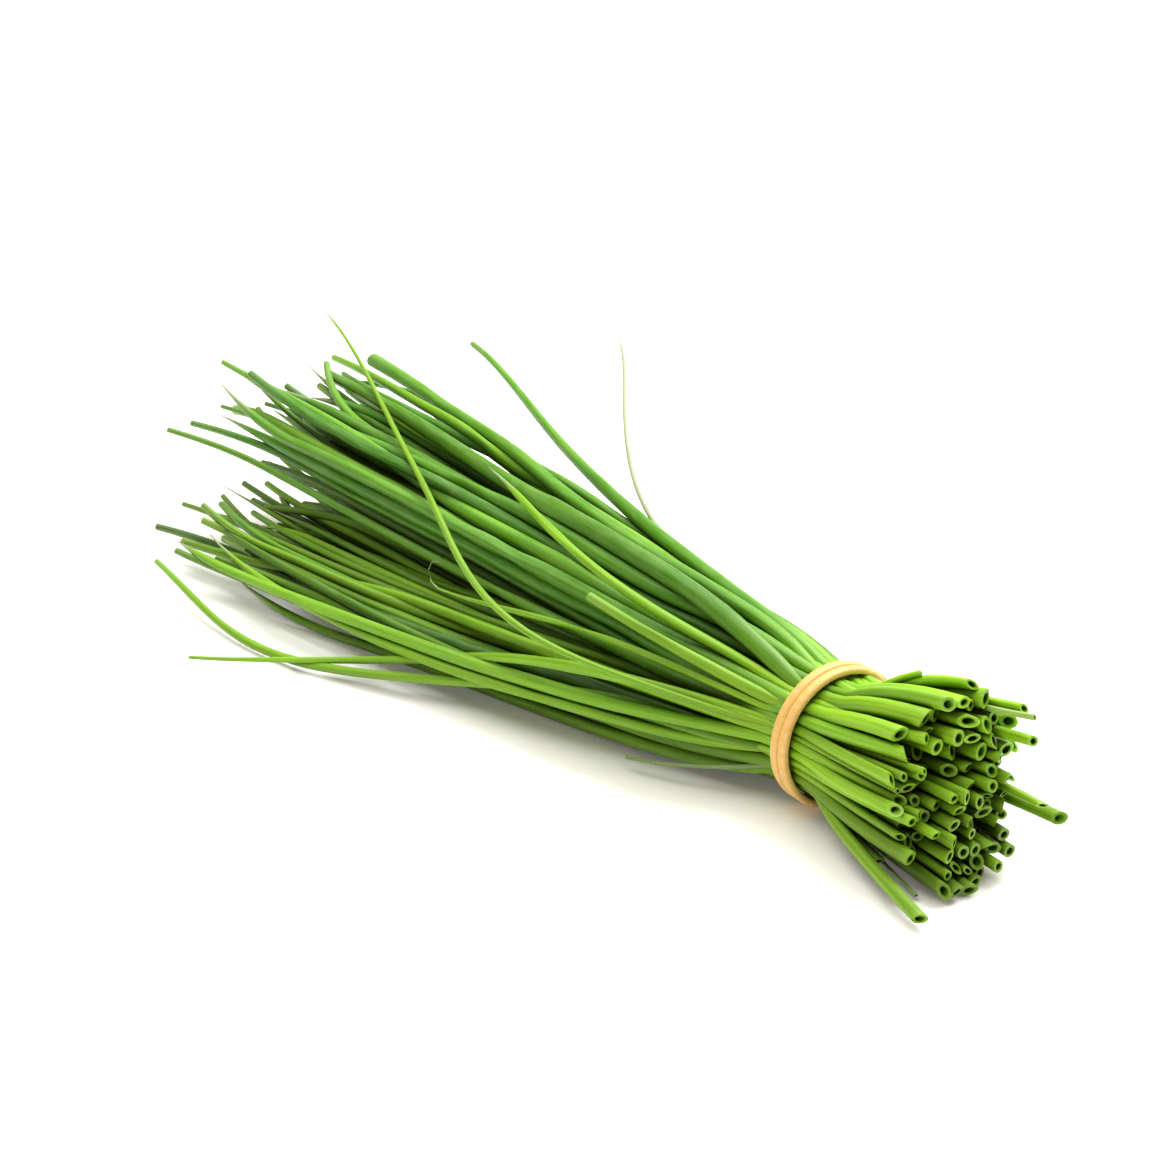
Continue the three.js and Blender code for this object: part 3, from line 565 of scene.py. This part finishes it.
def model_straight_leaf(wall):
    """One straight hollow leaf along -X from its cut end at x = 0, modelled once."""
    first = FIRST_RING * MM
    length = STRAIGHT_LENGTH * MM
    deselect_all()
    bpy.ops.mesh.primitive_cylinder_add(
        vertices=LEAF_SIDES, radius=STRAIGHT_RADIUS * MM, depth=first, end_fill_type="NGON",
        location=(-first / 2, 0, 0), rotation=(0, math.pi / 2, 0))
    leaf = bpy.context.object
    leaf.name = "straight_leaf"
    bpy.ops.object.transform_apply(location=True, rotation=True, scale=True)
    bpy.ops.object.mode_set(mode="EDIT")
    bpy.ops.mesh.select_mode(type="FACE")
    select_faces(leaf, lambda middle, normal: normal.x < -0.9)
    step = (length - first) / LEAF_RINGS
    for _ in range(LEAF_RINGS):
        bpy.ops.mesh.extrude_region_move(TRANSFORM_OT_translate={"value": (-step, 0, 0)})
    bore_end(leaf, 0, wall, CUT_BORE * MM)
    bore_end(leaf, -length, wall, TIP_BORE * MM)
    bpy.ops.object.mode_set(mode="OBJECT")
    bpy.ops.object.shade_smooth_by_angle(angle=math.radians(SHARP_EDGE))
    return leaf


def along_stations(leaf, values, x):
    """A smooth curve through a leaf's station values, at any x."""
    place = np.clip((FIRST_STATION - x) / STATION_STEP, 0, STATION_COUNT - 1.001)
    i = place.astype(int)
    t = place - i
    before, here = values[np.maximum(i - 1, 0)], values[i]
    there, after = values[i + 1], values[np.minimum(i + 2, STATION_COUNT - 1)]
    return 0.5 * (2 * here + (there - before) * t + (2 * before - 5 * here + 4 * there - after) * t**2
                  + (3 * here - before - 3 * there + after) * t**3)


def route_of(leaf):
    """Points close together along a leaf, from its cut end to its tip, and its radius at each."""
    x = np.linspace(leaf.cut, leaf.tip, ROUTE_POINTS)
    points = np.stack([x, along_stations(leaf, leaf.y, x), along_stations(leaf, leaf.z, x)], axis=1)
    radii = radius_at(leaf, x)
    if leaf.hook:
        heading = (points[-1] - points[-4]) / np.linalg.norm(points[-1] - points[-4])
        turn = np.radians(np.linspace(HOOK_FROM, HOOK_TO, HOOK_POINTS))[:, None]
        upwards = np.array([0, 0, 1.0])
        curl = points[-1] + leaf.hook * (np.sin(turn) * heading + (1 - np.cos(turn)) * upwards)
        points = np.concatenate([points, curl])
        radii = np.concatenate([radii, radii[-1] * np.linspace(1, HOOK_END, HOOK_POINTS)])
    return points, radii


def bend_leaf(piece, leaf, look):
    """Carries a straight copy's points to the leaf's route, and writes the marks its material reads."""
    count = len(piece.data.vertices)
    straight = np.empty(3 * count)
    piece.data.vertices.foreach_get("co", straight)
    straight = straight.reshape(-1, 3) / MM
    along = np.clip(-straight[:, 0] / STRAIGHT_LENGTH, 0, 1)
    across = straight[:, 1:] / STRAIGHT_RADIUS

    points, radii = route_of(leaf)
    steps = np.linalg.norm(np.diff(points, axis=0), axis=1)
    lengths = np.concatenate([[0], np.cumsum(steps)])
    total = lengths[-1]
    place = along * total
    place = place + look.slant * radii[0] * (across @ look.slant_way) * np.exp(-place / SLANT_REACH)
    last = np.clip(1 - (lengths[-1] - lengths) / look.curl_length, 0, 1) ** 2
    points = points + look.curl * last[:, None]
    on_leaf = np.clip(place, 0, total)
    centres = np.stack([np.interp(on_leaf, lengths, points[:, i]) for i in range(3)], axis=1)
    ahead = np.stack([np.interp(on_leaf + HEADING_STEP, lengths, points[:, i]) for i in range(3)], axis=1)
    behind = np.stack([np.interp(on_leaf - HEADING_STEP, lengths, points[:, i]) for i in range(3)], axis=1)
    heading = ahead - behind
    heading /= np.linalg.norm(heading, axis=1)[:, None]
    centres += (place - on_leaf)[:, None] * heading
    side = np.cross(heading, [0, 0, 1.0])
    side /= np.linalg.norm(side, axis=1)[:, None]
    upward = np.cross(side, heading)

    slimming = CUT_SLIMMING * np.exp(-((place / CUT_SLIMMING_REACH) ** 2))
    radius = np.interp(place, lengths, radii) * (1 - slimming)
    if look.pointed:
        radius = radius * np.clip((total - place) / look.point_length, POINT_LEAST, 1) ** POINT_CURVE
    turn = look.twist + look.twist_rate * place
    flat = look.oval + look.end_oval * np.exp(-place / FLAT_REACH)
    for kink, depth in look.kinks:
        flat = flat + depth * np.exp(-(((place - kink * total) / KINK_REACH) ** 2))
    long_way = np.cos(turn) * across[:, 0] + np.sin(turn) * across[:, 1]
    short_way = -np.sin(turn) * across[:, 0] + np.cos(turn) * across[:, 1]
    long_way = long_way * (1 + WIDER_SHARE * flat)
    short_way = short_way * (1 - flat)
    sideways = np.cos(turn) * long_way - np.sin(turn) * short_way
    upwards = np.sin(turn) * long_way + np.cos(turn) * short_way
    bent = centres + radius[:, None] * (sideways[:, None] * side + upwards[:, None] * upward)
    bent[:, 2] = np.maximum(bent[:, 2], LOWEST)
    bent = bent * MM + np.array(ORIGIN)
    piece.data.vertices.foreach_set("co", bent.ravel())

    inside = np.linalg.norm(across, axis=1) < BORE_FROM
    # Painted light and shade near the cut end, paler on an upper leaf and darker on a lower one, added to the
    # leaf's shade
    cut_end_light_and_shade_here = look.pale_base * np.exp(-((place / CUT_END_PAINTED_REACH) ** 2))
    write_mark(piece, "leaf_place", np.stack(
        [place + look.offset, across[:, 0] * leaf.radius, across[:, 1] * leaf.radius + look.offset], axis=1))
    write_mark(piece, "leaf_tone", np.full(count, look.tone))
    write_mark(piece, "from_cut", place)
    write_mark(piece, "from_tip", total - place)
    write_mark(piece, "leaf_dryness", np.full(count, look.dryness))
    write_mark(piece, "leaf_shade_and_painted_light", look.shade + cut_end_light_and_shade_here)
    write_mark(piece, "tip_dryness", np.full(count, look.tip_dryness))
    write_mark(piece, "bore_wall", inside.astype(float))
    piece.data.update()


def write_mark(piece, name, values):
    """Writes one number or vector per point, for a material to read."""
    kind = "FLOAT_VECTOR" if values.ndim == 2 else "FLOAT"
    field = "vector" if values.ndim == 2 else "value"
    mark = piece.data.attributes.new(name, kind, "POINT")
    mark.data.foreach_set(field, values.astype(np.float32).ravel())


def look_of(index, leaf):
    """How one leaf differs from the next: its tone, its section, its ends and its dents."""
    draws = Draws(LOOK_SEED + LOOK_SEED_STEP * index)
    for _ in range(DRAWS_PASSED_OVER):
        draws.unit()
    tone = TONES.get(leaf.look, GROWN_TONE + HIGH_TONE * leaf.v + FAR_TONE * leaf.u)
    slant_turn = 2 * math.pi * draws.unit()
    dryness = DRYNESS.get(leaf.look, 0.0)
    is_slim = dryness > 0 or leaf.radius < SLIM_RADIUS
    differ = LOOK_SCATTER
    look = SimpleNamespace(
        tone=min(max(tone + draws.about(differ.tone), 0), 1),
        dryness=dryness,
        offset=differ.offset * draws.unit(),
        slant=differ.slant * draws.unit(),
        slant_way=np.array([math.cos(slant_turn), math.sin(slant_turn)]),
        pointed=leaf.look not in BLUNT_LOOKS and (is_slim or draws.unit() < POINTED_SHARE),
        point_length=differ.shortest_point + differ.point * draws.unit(),
        twist=2 * math.pi * draws.unit(),
        twist_rate=draws.about(differ.twist_rate),
        oval=differ.least_oval + differ.oval * draws.unit(),
        end_oval=differ.end_oval * draws.unit() ** 2,
        kinks=[(differ.first_kink + differ.kink * draws.unit(),
                differ.least_dent + differ.dent * draws.unit()) for _ in range(differ.kinks)],
        # Painted light: a higher leaf is painted lighter, on top of its random shade
        shade=SHADE + draws.about(differ.shade) + HIGH_PAINTED_LIGHT * leaf.v,
        # Painted light and shade near the cut end: paler for an upper leaf, darker for a lower one
        pale_base=CUT_END_PAINTED_LIGHT * max(leaf.v, 0) + CUT_END_PAINTED_SHADE * min(leaf.v, 0),
        curl_length=differ.shortest_curl + differ.curl_length * draws.unit(),
        curl=np.array([0, draws.about(differ.curl_y), draws.about(differ.curl_z)]) * (leaf.look == "grown"),
    )
    look.tip_dryness = POINTED_TIP_DRYNESS if look.pointed else BLUNT_TIP_DRYNESS
    return look


def build_leaves(name, wanted, material):
    """Bends one copy of the straight leaf for each wanted leaf, and joins them in one piece."""
    straight = bpy.data.objects.get("straight_leaf")
    if straight is None:
        straight = model_straight_leaf(bpy.context.scene.chive_sizes.leaf_wall)
    copies = []
    for index, leaf in enumerate(LEAVES):
        if wanted(leaf):
            copy = bpy.data.objects.new(f"{name}_{index}", straight.data.copy())
            bpy.context.scene.collection.objects.link(copy)
            bend_leaf(copy, leaf, look_of(index, leaf))
            copies.append(copy)
    deselect_all()
    for copy in copies:
        copy.select_set(True)
    bpy.context.view_layer.objects.active = copies[0]
    bpy.ops.object.join()
    piece = bpy.context.object
    piece.name = name
    piece.data.materials.clear()
    piece.data.materials.append(material)
    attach(piece, "root")
    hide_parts("chive_leaves")
    return piece


def band_points(torus, sizes):
    """Where a torus's points lie on the band, in millimetres, and where its pattern is read. Once round the
    torus is twice round the bunch."""
    around = np.arctan2(torus[:, 1], torus[:, 0])
    out_way = np.hypot(torus[:, 0], torus[:, 1]) - TORUS_RADIUS
    side_turn = np.arctan2(torus[:, 2], out_way)

    lane = np.cos(around)
    over_crossing = CROSSING_LIFT / (1 + (np.abs(lane) / CROSSING_SHARE) ** CROSSING_EDGE)
    lift = np.where(np.sin(around) > 0, over_crossing, 0)
    # The strand is a little uneven in its width, and wanders a little to both sides
    waver = 1 + 0.05 * np.sin(3 * around + 1) + 0.03 * np.sin(7 * around)
    wander = 0.12 * np.sin(2 * around + 0.6) + 0.08 * np.sin(5 * around)
    out_share = np.sign(np.cos(side_turn)) * np.abs(np.cos(side_turn)) ** STRAND_ROUNDING
    side_share = np.sign(np.sin(side_turn)) * np.abs(np.sin(side_turn)) ** STRAND_ROUNDING
    out = sizes.strand_thick / MM / 2 * out_share
    over = sizes.strand_width / MM / 2 * side_share
    radius = BAND_OUTSIDE - STRAND_THICK / 2 - SET_IN + lift + out * waver
    angle = 2 * around - math.pi
    x = STRAND_PITCH / 2 * np.tanh(LANE_CHANGE * lane) + over * waver + wander
    y = radius * np.cos(angle)
    z = np.maximum(AXIS_Z + radius * np.sin(angle), 0)
    marks = np.stack([np.cos(around) * PATTERN_RADIUS, np.sin(around) * PATTERN_RADIUS,
                      side_turn * PATTERN_HEIGHT], axis=1)
    return np.stack([x, y, z], axis=1), marks


def build_band(sizes, material):
    """A torus bent to the closed loop that goes round twice."""
    deselect_all()
    bpy.ops.mesh.primitive_torus_add(
        major_segments=2 * TURN_SEGMENTS, minor_segments=STRAND_SIDES, major_radius=TORUS_RADIUS * MM,
        minor_radius=1 * MM)
    band = bpy.context.object
    band.name = "rubber_band_turns"
    count = len(band.data.vertices)
    torus = np.empty(3 * count)
    band.data.vertices.foreach_get("co", torus)
    points, marks = band_points(torus.reshape(-1, 3) / MM, sizes)
    bent = points * MM + np.array(ORIGIN)
    band.data.vertices.foreach_set("co", bent.ravel())
    write_mark(band, "strand_place", marks)
    band.data.update()
    bpy.ops.object.mode_set(mode="EDIT")
    bpy.ops.mesh.select_all(action="SELECT")
    bpy.ops.mesh.normals_make_consistent(inside=False)
    bpy.ops.object.mode_set(mode="OBJECT")
    bpy.ops.object.shade_smooth()
    band.data.materials.append(material)
    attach(band, "root")
    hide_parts("rubber_band")
    return band


def add_node(tree, kind, values=None, links=None, **settings):
    """Adds a node with its settings, the values of its sockets and the links into them."""
    node = tree.nodes.new(kind)
    for name, value in settings.items():
        setattr(node, name, value)
    for socket, value in (values or {}).items():
        node.inputs[socket].default_value = value
    for socket, source in (links or {}).items():
        tree.links.new(source, node.inputs[socket])
    return node


def new_material(name):
    """An empty node material, and its node tree."""
    material = bpy.data.materials.new(name)
    material.use_nodes = True
    material.node_tree.nodes.clear()
    return material, material.node_tree


def leaf_skin_green(tree, colours, place):
    """The green of the skin with its veins and its wax. Gives back the patterns of both too."""
    tone = add_node(tree, "ShaderNodeAttribute", attribute_name="leaf_tone")
    shade = add_node(tree, "ShaderNodeAttribute", attribute_name="leaf_shade_and_painted_light")
    from_cut = add_node(tree, "ShaderNodeAttribute", attribute_name="from_cut")

    # Veins run along the leaf about 0.6 mm apart. Real ones are at 0.3 mm, too fine to show here.
    vein_space = add_node(tree, "ShaderNodeMapping", {"Scale": (0.03, 1.6, 1.6)},
                          {"Vector": place.outputs["Vector"]})
    veins = add_node(tree, "ShaderNodeTexNoise", {"Scale": 1.0, "Detail": 2.0, "Roughness": 0.55},
                     {"Vector": vein_space.outputs[0]})
    # Patches of colour 15 to 40 mm long and about as wide as the leaf
    patch_space = add_node(tree, "ShaderNodeMapping", {"Scale": (0.05, 0.5, 0.5)},
                           {"Vector": place.outputs["Vector"]})
    patches = add_node(tree, "ShaderNodeTexNoise", {"Scale": 1.0, "Detail": 3.0},
                       {"Vector": patch_space.outputs[0]})
    # Wax lies in streaks about 6 mm long and 1 mm wide
    bloom_space = add_node(tree, "ShaderNodeMapping", {"Scale": (0.16, 0.9, 0.9)},
                           {"Vector": place.outputs["Vector"]})
    bloom = add_node(tree, "ShaderNodeTexNoise", {"Scale": 1.0, "Detail": 4.0},
                     {"Vector": bloom_space.outputs[0]})

    # A leaf is yellower for its first 55 mm from the cut, where it grew out of the sheath
    shifted = add_node(tree, "ShaderNodeMath", {1: 0.55, 2: 0.0}, {0: patches.outputs["Fac"]},
                       operation="MULTIPLY_ADD")
    tone_sum = add_node(tree, "ShaderNodeMath", {}, {0: tone.outputs["Fac"], 1: shifted.outputs[0]},
                        operation="ADD")
    base = add_node(tree, "ShaderNodeMapRange",
                    {"From Min": 5.0, "From Max": 55.0, "To Min": -0.7, "To Max": 0.0},
                    {"Value": from_cut.outputs["Fac"]})
    based = add_node(tree, "ShaderNodeMath", {}, {0: tone_sum.outputs[0], 1: base.outputs[0]},
                     operation="ADD")
    tone_mix = add_node(tree, "ShaderNodeMapRange", {"From Min": 0.25, "From Max": 1.1},
                        {"Value": based.outputs[0]})
    green = add_node(tree, "ShaderNodeMix", {"A": colours.young_leaf, "B": colours.deep_leaf},
                     {"Factor": tone_mix.outputs[0]}, data_type="RGBA")
    vein_mix = add_node(tree, "ShaderNodeMapRange",
                        {"From Min": 0.35, "From Max": 0.7, "To Min": 0.78, "To Max": 1.15},
                        {"Value": veins.outputs["Fac"]})
    # The leaf's shade mark holds its random shade together with its painted light and shade, and the veins are
    # multiplied by it
    veins_and_painted_light = add_node(tree, "ShaderNodeMath", {}, {0: vein_mix.outputs[0], 1: shade.outputs["Fac"]},
                          operation="MULTIPLY")
    veined = add_node(tree, "ShaderNodeMix", {"Factor": 1.0},
                      {"A": green.outputs["Result"], "B": veins_and_painted_light.outputs[0]},
                      data_type="RGBA", blend_type="MULTIPLY")
    bloom_mix = add_node(tree, "ShaderNodeMapRange",
                         {"From Min": 0.4, "From Max": 0.75, "To Min": 0.0, "To Max": 0.2},
                         {"Value": bloom.outputs["Fac"]})
    bloom_toned = add_node(tree, "ShaderNodeMath", {}, {0: bloom_mix.outputs[0], 1: tone_mix.outputs[0]},
                           operation="MULTIPLY")
    waxed = add_node(tree, "ShaderNodeMix", {"B": colours.wax},
                     {"Factor": bloom_toned.outputs[0], "A": veined.outputs["Result"]}, data_type="RGBA")
    return waxed, veins, bloom


def leaf_ends(tree, colours, skin_green):
    """The moist rim and bore of a cut end, and the straw colour of a dried tip or leaf, over the skin."""
    from_cut = add_node(tree, "ShaderNodeAttribute", attribute_name="from_cut")
    from_tip = add_node(tree, "ShaderNodeAttribute", attribute_name="from_tip")
    dryness = add_node(tree, "ShaderNodeAttribute", attribute_name="leaf_dryness")
    tip_dryness = add_node(tree, "ShaderNodeAttribute", attribute_name="tip_dryness")
    bore_wall = add_node(tree, "ShaderNodeAttribute", attribute_name="bore_wall")

    rim_mix = add_node(tree, "ShaderNodeMapRange",
                       {"From Min": 0.1, "From Max": 2.0, "To Min": 0.25, "To Max": 0.0},
                       {"Value": from_cut.outputs["Fac"]})
    rimmed_skin = add_node(tree, "ShaderNodeMix", {"B": colours.cut_rim},
                           {"Factor": rim_mix.outputs[0], "A": skin_green.outputs["Result"]},
                           data_type="RGBA")
    # Partly painted shade: the wall inside the hollow is mixed towards the darker bore green
    bore_painted_shade_mix = add_node(tree, "ShaderNodeMapRange", {"From Min": 0.2, "From Max": 1.0, "To Max": 0.85},
                        {"Value": bore_wall.outputs["Fac"]})
    rimmed = add_node(tree, "ShaderNodeMix", {"B": colours.bore_with_painted_shade},
                      {"Factor": bore_painted_shade_mix.outputs[0], "A": rimmed_skin.outputs["Result"]},
                      data_type="RGBA")
    tip_mix = add_node(tree, "ShaderNodeMapRange",
                       {"From Min": 1.0, "From Max": 14.0, "To Min": 1.0, "To Max": 0.0},
                       {"Value": from_tip.outputs["Fac"]})
    tip_dried = add_node(tree, "ShaderNodeMath", {}, {0: tip_mix.outputs[0], 1: tip_dryness.outputs["Fac"]},
                         operation="MULTIPLY")
    dry_mix = add_node(tree, "ShaderNodeMath", {}, {0: tip_dried.outputs[0], 1: dryness.outputs["Fac"]},
                       operation="MAXIMUM")
    return add_node(tree, "ShaderNodeMix", {"B": colours.dry_tip},
                    {"Factor": dry_mix.outputs[0], "A": rimmed.outputs["Result"]}, data_type="RGBA")


def fresh_leaf_material(colours):
    """Fresh chive leaf: hollow living tissue with a thin wax bloom, grown and then cut with a blade. It is
    satin and a little translucent, deep or yellow-green from leaf to leaf, with fine veins along it."""
    material, tree = new_material("fresh_waxy_leaf")
    place = add_node(tree, "ShaderNodeAttribute", attribute_name="leaf_place")
    waxed, veins, bloom = leaf_skin_green(tree, colours, place)
    dried = leaf_ends(tree, colours, waxed)

    # Painted shade: the colour is darkened where other leaves come near, in the crevices between the leaves
    nearness = add_node(tree, "ShaderNodeAmbientOcclusion", {"Distance": 8 * MM}, samples=8)
    painted_shade_factor = add_node(tree, "ShaderNodeMapRange",
                        {"From Min": 0.05, "From Max": 0.6, "To Min": 0.22, "To Max": 1.0},
                        {"Value": nearness.outputs["AO"]})
    painted_crevice_shade = add_node(tree, "ShaderNodeMix", {"Factor": 1.0},
                      {"A": dried.outputs["Result"], "B": painted_shade_factor.outputs[0]},
                      data_type="RGBA", blend_type="MULTIPLY")

    # Where the wax lies thick the leaf is more matt
    rough = add_node(tree, "ShaderNodeMapRange",
                     {"From Min": 0.3, "From Max": 0.75, "To Min": 0.38, "To Max": 0.55},
                     {"Value": bloom.outputs["Fac"]})
    bump = add_node(tree, "ShaderNodeBump", {"Strength": 0.35, "Distance": 0.12 * MM},
                    {"Height": veins.outputs["Fac"]})
    skin = add_node(tree, "ShaderNodeBsdfPrincipled",
                    {"IOR": 1.42, "Subsurface Weight": 0.22, "Subsurface Radius": (0.45, 1.0, 0.12),
                     "Subsurface Scale": 1.2 * MM},
                    {"Base Color": painted_crevice_shade.outputs["Result"], "Roughness": rough.outputs[0],
                     "Normal": bump.outputs[0]})
    add_node(tree, "ShaderNodeOutputMaterial", {}, {"Surface": skin.outputs[0]})
    return material


def rubber_material(colours):
    """Natural rubber: extruded, cured and cut. It is matt and warm, with faint lines along the strand and a
    little pale dust, and light goes a short way into it."""
    material, tree = new_material("tan_natural_rubber")
    place = add_node(tree, "ShaderNodeAttribute", attribute_name="strand_place")
    line_space = add_node(tree, "ShaderNodeMapping", {"Scale": (0.25, 0.25, 5.0)},
                          {"Vector": place.outputs["Vector"]})
    lines = add_node(tree, "ShaderNodeTexNoise", {"Scale": 1.0, "Detail": 3.0},
                     {"Vector": line_space.outputs[0]})
    dust_space = add_node(tree, "ShaderNodeMapping", {"Scale": (0.9, 0.9, 2.0)},
                          {"Vector": place.outputs["Vector"]})
    dust = add_node(tree, "ShaderNodeTexNoise", {"Scale": 1.0, "Detail": 5.0, "Roughness": 0.65},
                    {"Vector": dust_space.outputs[0]})
    dust_mix = add_node(tree, "ShaderNodeMapRange",
                        {"From Min": 0.42, "From Max": 0.72, "To Min": 0.0, "To Max": 0.6},
                        {"Value": dust.outputs["Fac"]})
    dusted = add_node(tree, "ShaderNodeMix", {"A": colours.rubber, "B": colours.rubber_dust},
                      {"Factor": dust_mix.outputs[0]}, data_type="RGBA")
    bump = add_node(tree, "ShaderNodeBump", {"Strength": 0.3, "Distance": 0.15 * MM},
                    {"Height": lines.outputs["Fac"]})
    skin = add_node(tree, "ShaderNodeBsdfPrincipled",
                    {"Roughness": 0.55, "IOR": 1.52, "Subsurface Weight": 0.25,
                     "Subsurface Radius": (1.0, 0.5, 0.2), "Subsurface Scale": 0.8 * MM},
                    {"Base Color": dusted.outputs["Result"], "Normal": bump.outputs[0]})
    add_node(tree, "ShaderNodeOutputMaterial", {}, {"Surface": skin.outputs[0]})
    return material


def floor_material(colours):
    """Opal acrylic sheet, cast, sanded matt and lit a little from below, so the shadows on it are pale."""
    material, tree = new_material("opal_acrylic_sheet")
    sheet = add_node(tree, "ShaderNodeBsdfPrincipled",
                     {"Base Color": colours.floor, "Roughness": 1.0, "IOR": 1.0,
                      "Emission Color": colours.floor, "Emission Strength": 0.08})
    add_node(tree, "ShaderNodeOutputMaterial", {}, {"Surface": sheet.outputs[0]})
    return material


def shared_leaf_material():
    """The leaf material, made once and used by every group of leaves."""
    made = bpy.data.materials.get("fresh_waxy_leaf")
    return made or fresh_leaf_material(bpy.context.scene.chive_colours)


class CHIVES_OT_upper_leaves(bpy.types.Operator):
    """Build the leaves of the upper group"""

    bl_idname = "chives.upper_leaves"
    bl_label = "Upper Leaves"

    def execute(self, context):
        build_leaves("upper_leaves", lambda leaf: leaf.look == "grown" and not leaf.is_low,
                     shared_leaf_material())
        return {"FINISHED"}


class CHIVES_OT_lower_leaves(bpy.types.Operator):
    """Build the leaves of the lower group, which lies on the surface, and those that only fill gaps"""

    bl_idname = "chives.lower_leaves"
    bl_label = "Lower Leaves"

    def execute(self, context):
        build_leaves("lower_leaves", lambda leaf: leaf.look in ("grown", "inner") and leaf.is_low,
                     shared_leaf_material())
        return {"FINISHED"}


class CHIVES_OT_light_leaves(bpy.types.Operator):
    """Build the slim light leaves of the near side, and those that cross over the others"""

    bl_idname = "chives.light_leaves"
    bl_label = "Light Leaves"

    def execute(self, context):
        build_leaves("light_leaves", lambda leaf: leaf.look == "light", shared_leaf_material())
        return {"FINISHED"}


class CHIVES_OT_stray_leaves(bpy.types.Operator):
    """Build the stout leaves that stand off at the far side"""

    bl_idname = "chives.stray_leaves"
    bl_label = "Stray Leaves"

    def execute(self, context):
        build_leaves("stray_leaves", lambda leaf: leaf.look == "stray", shared_leaf_material())
        return {"FINISHED"}


class CHIVES_OT_dry_leaves(bpy.types.Operator):
    """Build the thin dried leaves"""

    bl_idname = "chives.dry_leaves"
    bl_label = "Dry Leaves"

    def execute(self, context):
        build_leaves("dry_leaves", lambda leaf: leaf.look in ("dry", "half_dry"), shared_leaf_material())
        return {"FINISHED"}


class CHIVES_OT_rubber_band(bpy.types.Operator):
    """Build the rubber band, one closed loop wound twice"""

    bl_idname = "chives.rubber_band"
    bl_label = "Rubber Band"

    def execute(self, context):
        scene = context.scene
        build_band(scene.chive_sizes, rubber_material(scene.chive_colours))
        return {"FINISHED"}


def view_axes():
    """The camera's forward, right and up directions, from the view's azimuth and elevation."""
    a, e = math.radians(VIEW_AZIMUTH), math.radians(VIEW_ELEVATION)
    forward = Vector((-math.sin(a) * math.cos(e), math.cos(a) * math.cos(e), -math.sin(e)))
    right = Vector((math.cos(a), math.sin(a), 0))
    return forward, right, right.cross(forward)


def add_camera():
    """The camera, placed so that the middle of the band falls where the photograph has it."""
    forward, right, up = view_axes()
    pixels = LENS / SENSOR * PHOTO_SIZE
    depth = pixels / PIXELS_PER_MM
    across = (BAND_PIXEL[0] - PHOTO_SIZE / 2) * depth / pixels
    down = (BAND_PIXEL[1] - PHOTO_SIZE / 2) * depth / pixels
    place = BAND_MIDDLE - depth * forward - across * right + down * up
    data = bpy.data.cameras.new("photo_view")
    data.lens = LENS
    data.sensor_width = SENSOR
    data.clip_start = NEAREST_SEEN
    camera = bpy.data.objects.new("photo_view", data)
    turn = Matrix((right, up, -forward)).transposed()
    camera.matrix_world = Matrix.Translation(place * MM + ORIGIN) @ turn.to_4x4()
    bpy.context.scene.collection.objects.link(camera)
    bpy.context.scene.camera = camera


def add_light(name, direction, distance, size, power, colour):
    """A soft square light that shines on the bunch from that direction."""
    data = bpy.data.lights.new(name, "AREA")
    data.shape = "SQUARE"
    data.size = size
    data.energy = power
    data.color = linear(colour)[:3]
    light = bpy.data.objects.new(name, data)
    way = Vector(direction).normalized()
    light.location = way * distance
    light.rotation_euler = way.to_track_quat("Z", "Y").to_euler()
    bpy.context.scene.collection.objects.link(light)


class CHIVES_OT_stage(bpy.types.Operator):
    """Build the pale floor, the soft light and the camera"""

    bl_idname = "chives.stage"
    bl_label = "Stage"

    def execute(self, context):
        scene = context.scene
        deselect_all()
        bpy.ops.mesh.primitive_plane_add(size=scene.chive_sizes.floor_size, location=(0, 0, 0))
        floor = context.object
        floor.name = "floor"
        floor.data.materials.append(floor_material(scene.chive_colours))
        add_light("key_light", direction=(-0.1, 0.6, 0.8), distance=1.1, size=0.7, power=16, colour="#ffffff")
        add_light("top_fill", direction=(-0.2, 0.0, 1.0), distance=1.2, size=1.6, power=18, colour="#ffffff")
        world = bpy.data.worlds.new("soft_warm_room")
        world.use_nodes = True
        room = world.node_tree.nodes["Background"]
        room.inputs["Color"].default_value = linear(ROOM_COLOUR)
        room.inputs["Strength"].default_value = ROOM_STRENGTH
        scene.world = world
        scene.view_settings.view_transform = "Standard"
        add_camera()
        return {"FINISHED"}


OPERATORS = (
    CHIVES_OT_upper_leaves,
    CHIVES_OT_lower_leaves,
    CHIVES_OT_light_leaves,
    CHIVES_OT_stray_leaves,
    CHIVES_OT_dry_leaves,
    CHIVES_OT_rubber_band,
    CHIVES_OT_stage,
)


class CHIVES_PT_panel(bpy.types.Panel):
    """Lists the pieces of the chive bunch"""

    bl_idname = "CHIVES_PT_panel"
    bl_label = "Chive Bunch"
    bl_space_type = "VIEW_3D"
    bl_region_type = "UI"
    bl_category = "Chives"

    def draw(self, context):
        layout = self.layout
        for group in (context.scene.chive_sizes, context.scene.chive_colours):
            for name in group.__annotations__:
                layout.prop(group, name)
        for operator in OPERATORS:
            layout.operator(operator.bl_idname)


CLASSES = (ChiveSizes, ChiveColours, *OPERATORS, CHIVES_PT_panel)


def register():
    for cls in CLASSES:
        bpy.utils.register_class(cls)
    bpy.types.Scene.chive_sizes = bpy.props.PointerProperty(type=ChiveSizes)
    bpy.types.Scene.chive_colours = bpy.props.PointerProperty(type=ChiveColours)


def unregister():
    del bpy.types.Scene.chive_colours
    del bpy.types.Scene.chive_sizes
    for cls in reversed(CLASSES):
        bpy.utils.unregister_class(cls)


def main():
    register()
    bpy.ops.chives.upper_leaves()
    bpy.ops.chives.lower_leaves()
    bpy.ops.chives.light_leaves()
    bpy.ops.chives.stray_leaves()
    bpy.ops.chives.dry_leaves()
    bpy.ops.chives.rubber_band()
    bpy.ops.chives.stage()
    bpy.data.objects.remove(bpy.data.objects["straight_leaf"])


if __name__ == "__main__":
    main()
